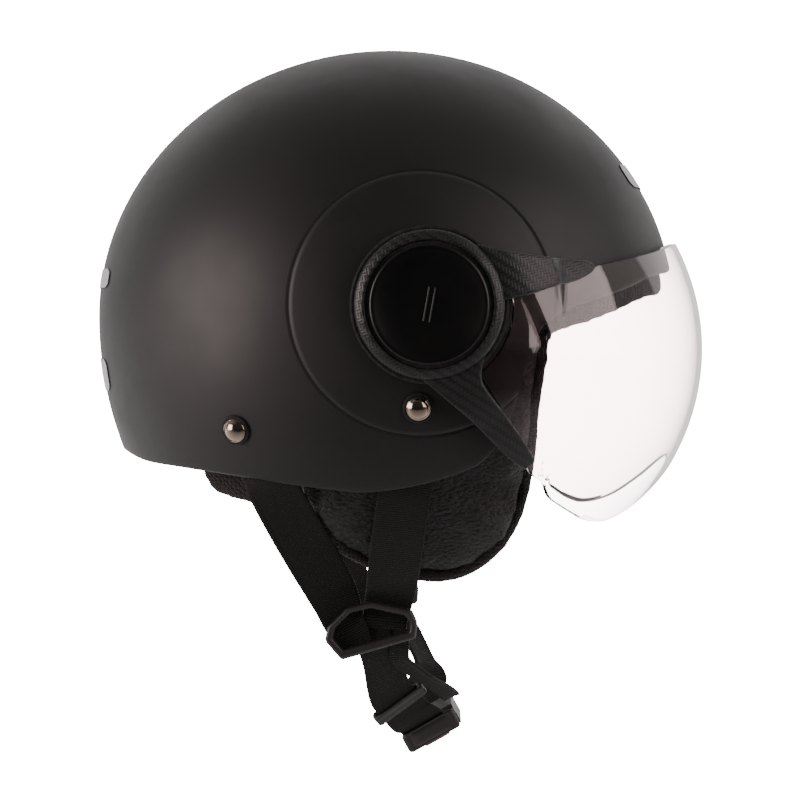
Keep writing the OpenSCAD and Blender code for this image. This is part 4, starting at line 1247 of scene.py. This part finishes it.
def band(start, end, steps, top, drop, out_off, in_off, gain=0.0, end_gain=0.0, ends=0.55):
    """Vertices and faces of a rounded band along the rim between two bearings. Gain deepens the band toward
    its end, and end_gain toward both ends."""
    verts, turns = [], 20
    for k in range(steps + 1):
        t = k / steps
        b = start + (end - start) * t
        z = float(rim_z(b))
        pinch = min(1.0, ends + (1 - ends) * min(t, 1 - t) * steps / 2)
        hi, lo = z + top * pinch, z - (drop + gain * t + end_gain * abs(2 * t - 1) ** 2) * pinch
        mid_z, half_h = (hi + lo) / 2, (hi - lo) / 2
        mid_o, half_o = (out_off + in_off) / 2, abs(out_off - in_off) / 2 * pinch
        for a in np.linspace(0, 2 * math.pi, turns, endpoint=False):
            cz, co = math.cos(a), math.sin(a)
            zz = mid_z + half_h * math.copysign(abs(cz) ** 0.6, cz)
            oo = mid_o + half_o * math.copysign(abs(co) ** 0.6, co)
            verts.append(on_shell(shell_dir(b, zz), oo))
    return verts, tube_faces(steps + 1, turns)


def build_bands():
    mesh, cloth = MATERIALS["mesh"], MATERIALS["cloth"]
    brow_form = band(-57, 57, 60, 7, 11.0, -6.0, -14.4, end_gain=1.0, ends=0.7)
    brow = puffed("brow_padding", *brow_form, mesh, "mesh_cloth", 0.8, 2.6, 1.0)
    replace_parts(brow, "brow_band")
    roll = puffed("neck_padding", *band(150, 210, 40, 5, 3.6, -8.8, -21), cloth, "lining", 0.7, 3.0, 1.2)
    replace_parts(roll, "neck_roll")
    for side, (start, end) in {"right": (217, 242), "left": (143, 118)}.items():
        nape_form = band(start, end, 20, 3, 19.5, -9.2, -18.4, gain=5.5, ends=0.85)
        pad = puffed(f"nape_padding_{side}", *nape_form, mesh, "mesh_cloth", 0.8, 2.4, 1.0)
        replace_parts(pad, f"nape_pad_{side}")


# ---- foam and comfort liner --------------------------------------------------
def foam_top(b):
    """Height of the foam's lower edge at a bearing, with a cut-out over each cheek pad."""
    turn = abs((b + 180) % 360 - 180)
    z = float(rim_z(b))
    if turn < 50:
        return z + 14
    if turn < 58:
        return z + 18
    return -38.0 if turn < 135 else z + 9


def liner_dome(name, out_off, in_off, raise_mm, material, swell=0.0):
    """A dome between two offsets of the shell's form, quilted in gores where swell is over nothing."""
    bearings = np.arange(0, 360, 2.5)
    heights = np.array([foam_top(b) + raise_mm for b in bearings])
    kernel = np.array([0.25, 0.5, 0.25])
    wrapped = np.concatenate([heights[-1:], heights, heights[:1]])
    heights = np.maximum(heights, np.convolve(wrapped, kernel, "valid"))
    ends = np.array([shell_dir(b, z) for b, z in zip(bearings, heights)])
    pole = np.array([0.0, 0.0, 1.0])
    rows = []
    first, edge, bend = 0.04, 0.985, 6
    for t in np.linspace(first, edge, 40):
        rows.append(on_shell(slerp(pole, ends, t), out_off))
    thick = abs(in_off - out_off)
    for k in range(1, bend):
        a = math.pi * k / bend
        t = edge + 0.4 * thick / 220 * math.sin(a)
        rows.append(on_shell(slerp(pole, ends, t), out_off - thick * (1 - math.cos(a)) / 2))
    for t in np.linspace(edge, first, 48):
        puff = swell * np.abs(np.sin(np.radians(bearings * 4))) ** 0.5 * abs(math.sin(t * math.pi * 3)) ** 0.4
        rows.append(on_shell(slerp(pole, ends, t), in_off + puff))
    verts, faces = poled(on_shell(pole, out_off), rows, on_shell(pole, in_off))
    return skin(name, verts, faces, material)


def build_linings():
    outer = -SHELL_WALL - FOAM_GAP
    foam = liner_dome("foam_shell", outer, outer - FOAM_T, 0.0, MATERIALS["foam"])
    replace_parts(foam, "eps_liner")
    start = outer - FOAM_T - 1.7
    liner = liner_dome("comfort_padding", start, start - LINER_T, 3.0, MATERIALS["cloth"], 2.4)
    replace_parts(liner, "comfort_liner")


# ---- rivets and patches --------------------------------------------------------
RIVETS = {"front": (-5.0, -45.2), "rear": (-86.9, -56.2)}


def disc_lift_at(x, z):
    """How far the round panel stands over the shell at a point."""
    return DISC_LIFT * (1 - float(ease(math.hypot(x - DISC_X, z - DISC_Z), DISC_R - 3, DISC_R + 3)))


def turned_at(name, spot, side, profile, material):
    """A turned piece standing on the shell at a rivet: profile is [(radius, height)]."""
    (x, z), turns = spot, 72
    n = shell_normal(x, z)
    origin = np.array([x, -float(shell_y(x, z)), z])
    a = unit(np.cross(n, (0, 0, 1)))
    b = np.cross(n, a)
    verts = []
    for r, h in profile:
        for k in range(turns):
            t = 2 * math.pi * k / turns
            verts.append(origin + n * h + a * r * math.cos(t) + b * r * math.sin(t))
    faces = grid_faces(len(profile), turns, wrap_cols=True)
    return skin(name, mirrored(verts, side), faces, material)


def build_rivets():
    """Domed heads on dark seats; the first of each stands for the CAD's four."""
    dome = [(0.02, 4.4), (1, 4.33), (2, 4.12), (3, 3.76), (3.9, 3.22), (4.6, 2.5), (4.9, 2.1), (5.25, 1.95),
            (5.5, 1.7), (5.5, 1.4), (2.6, 1.35)]
    seat = [(5.2, 1.3), (6.4, 1.3), (6.9, 1.05), (7.0, 0.3)]
    heads, seats = [], []
    for side in SIDES:
        for label, spot in RIVETS.items():
            up = disc_lift_at(*spot)
            heads.append(turned_at(f"rivet_{label}_{side}", spot, side, [(r, h + up) for r, h in dome],
                                   MATERIALS["chrome"]))
            seats.append(turned_at(f"seat_{label}_{side}", spot, side, [(r, h + up) for r, h in seat],
                                   MATERIALS["shade_and_washer_black"]))
    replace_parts(heads[0], "strap_rivets")
    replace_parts(seats[0], "rivet_washers")


def patch(name, bearing, z, wide, tall, film_node):
    """Thin film laid on the shell with rounded corners."""
    verts, cols, rows = [], 40, 12
    for j in range(rows + 1):
        for i in range(cols + 1):
            u, v = 2 * i / cols - 1, 2 * j / rows - 1
            trim = 1 - 0.12 * max(0.0, abs(v) - 0.5) ** 2 * 4
            verts.append(on_shell(shell_dir(bearing + wide / 2 * u * trim, z + tall / 2 * v), 0.5))
    piece = skin(name, verts, grid_faces(rows + 1, cols + 1), MATERIALS["film"])
    if film_node:
        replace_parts(piece, film_node)


def build_patches():
    patch("film_front", 0, 62, 34, 11, "front_decal")
    patch("film_rear_upper", 180, 13, 34, 9, "rear_decals")
    patch("film_rear_lower", 180, -33, 30, 15, None)


HARDWARE = {
    "plastic": ("pivot_plate_right", "pivot_plate_left", "pivot_hub_right", "pivot_hub_left"),
    "steel": ("pivot_screws", "pivot_nuts", "wave_washer_right", "wave_washer_left", "visor_screws",
              "strap_anchor_plates", "lever_pin", "lever_spring"),
}


def finish_hardware():
    """Materials for the CAD's own turned hardware."""
    for material, names in HARDWARE.items():
        for name in names:
            mesh = frame["nodes"][name].data
            mesh.materials.clear()
            mesh.materials.append(MATERIALS[material])


# ---- camera and light --------------------------------------------------------
def build_camera():
    """Level camera 1.2 m to the right of the middle plane, shifted to the photo's framing."""
    camera = bpy.data.cameras.new("camera")
    camera.sensor_width = 36.0
    camera.lens = 110.2
    camera.shift_x = -0.0375
    camera.shift_y = -0.1025
    camera.clip_end = 20.0
    holder = bpy.data.objects.new("camera", camera)
    holder.location = (0.0003, -1.2, -0.0059)
    holder.rotation_euler = (math.radians(90), 0, 0)
    bpy.context.scene.collection.objects.link(holder)
    bpy.context.scene.camera = holder


def area_light(name, place_m, aim_m, wide_m, tall_m, watts, colour):
    lamp = bpy.data.lights.new(name, "AREA")
    lamp.energy = watts
    lamp.color = colour
    lamp.shape = "RECTANGLE"
    lamp.size, lamp.size_y = wide_m, tall_m
    holder = bpy.data.objects.new(name, lamp)
    holder.location = place_m
    holder.rotation_euler = (Vector(aim_m) - Vector(place_m)).to_track_quat("-Z", "Y").to_euler()
    bpy.context.scene.collection.objects.link(holder)


def sweep_paper():
    """Paper that glows, brighter behind the helmet than in front. It glows most to the camera, straight or
    through the lens, and hardly shows in reflections in front of the helmet."""
    mat, nt, shader = new_material("sweep_paper", (0.8, 0.8, 0.8), 0.9)
    shader.inputs["Emission Color"].default_value = (1, 1, 1, 1)
    for_helmet, for_camera = 0.8, 20.0
    depth = node(nt, "ShaderNodeSeparateXYZ", {"Vector": place(nt)}).outputs["Y"]
    # the paper's colour darkens from 0.8 behind to 0.25 in front: painted shade on the floor before the helmet
    front_shaded_floor = ramp(nt, remap(nt, depth, -0.8, 0.1, 0.0, 1.0), (0.0, (0.25,) * 3), (1.0, (0.8,) * 3))
    path = node(nt, "ShaderNodeLightPath")
    in_gloss = maths(nt, "MULTIPLY", path.outputs["Is Glossy Ray"], remap(nt, depth, -0.7, 0.1, 1.0, 0.0))
    nt.links.new(mix_colour(nt, in_gloss, front_shaded_floor, (0, 0, 0)), shader.inputs["Base Color"])
    straight = [maths(nt, "LESS_THAN", path.outputs[f"{kind} Depth"], 0.5) for kind in ("Diffuse", "Glossy")]
    through = maths(nt, "MULTIPLY", path.outputs["Is Transmission Ray"], maths(nt, "MULTIPLY", *straight))
    seen = maths(nt, "MAXIMUM", path.outputs["Is Camera Ray"], through)
    glow = maths(nt, "ADD", for_helmet, maths(nt, "MULTIPLY", seen, for_camera))
    lit = maths(nt, "MULTIPLY", glow, remap(nt, depth, -0.3, 0.3, 0.3, 1.0))
    shown = maths(nt, "MULTIPLY", lit, maths(nt, "SUBTRACT", 1.0, in_gloss))
    nt.links.new(shown, shader.inputs["Emission Strength"])
    return mat


def build_stage():
    """Pale sweep: a floor that curves up behind the helmet. Lengths are in metres."""
    floor_z, front_y, back_y, bend, half, high = -0.26, -3.0, 1.6, 0.8, 4.0, 4.0
    outline = [(front_y, 0.0), (back_y - bend, 0.0)]
    for a in np.linspace(0.1, math.pi / 2, 16):
        outline.append((back_y - bend + bend * math.sin(a), bend * (1 - math.cos(a))))
    outline.append((back_y, high))
    verts = [(x, y, floor_z + z) for y, z in outline for x in (-half, half)]
    mesh = bpy.data.meshes.new("sweep")
    mesh.from_pydata(verts, [], [(2 * k, 2 * k + 1, 2 * k + 3, 2 * k + 2) for k in range(len(outline) - 1)])
    shade_smooth(mesh)
    sweep = bpy.data.objects.new("sweep", mesh)
    bpy.context.scene.collection.objects.link(sweep)
    mesh.materials.append(sweep_paper())


def build_world():
    """Room light: dim in front of the helmet's right side, brighter all round."""
    world = bpy.data.worlds.new("studio")
    bpy.context.scene.world = world
    world.use_nodes = True
    nt = world.node_tree
    toward = node(nt, "ShaderNodeTexCoord").outputs["Generated"]
    side_on = node(nt, "ShaderNodeSeparateXYZ", {"Vector": toward}).outputs["Y"]
    nt.nodes["Background"].inputs["Color"].default_value = (1, 0.98, 0.97, 1)
    nt.links.new(remap(nt, side_on, -0.75, -0.1, 0.045, 0.34), nt.nodes["Background"].inputs["Strength"])


def build_light():
    build_world()
    area_light("rear_left", (-1.25, -0.62, 0.0), (-0.1, -0.1, 0.0), 0.8, 1.2, 21.0, (1.0, 0.85, 0.83))
    area_light("front_right", (1.27, -0.8, 0.42), (0.05, -0.1, 0.0), 1.3, 1.1, 12.0, (1.0, 0.87, 0.85))


build_camera()
build_stage()
build_light()
build_shell()
build_discs()
build_lens()
build_arms()
build_caps()
for one_side in SIDES:
    build_side_straps(one_side)
    build_slider(one_side)
    build_cheek_pad(one_side)
build_chin_straps()
build_adjuster()
build_buckle()
build_bands()
build_linings()
build_rivets()
build_patches()
finish_hardware()
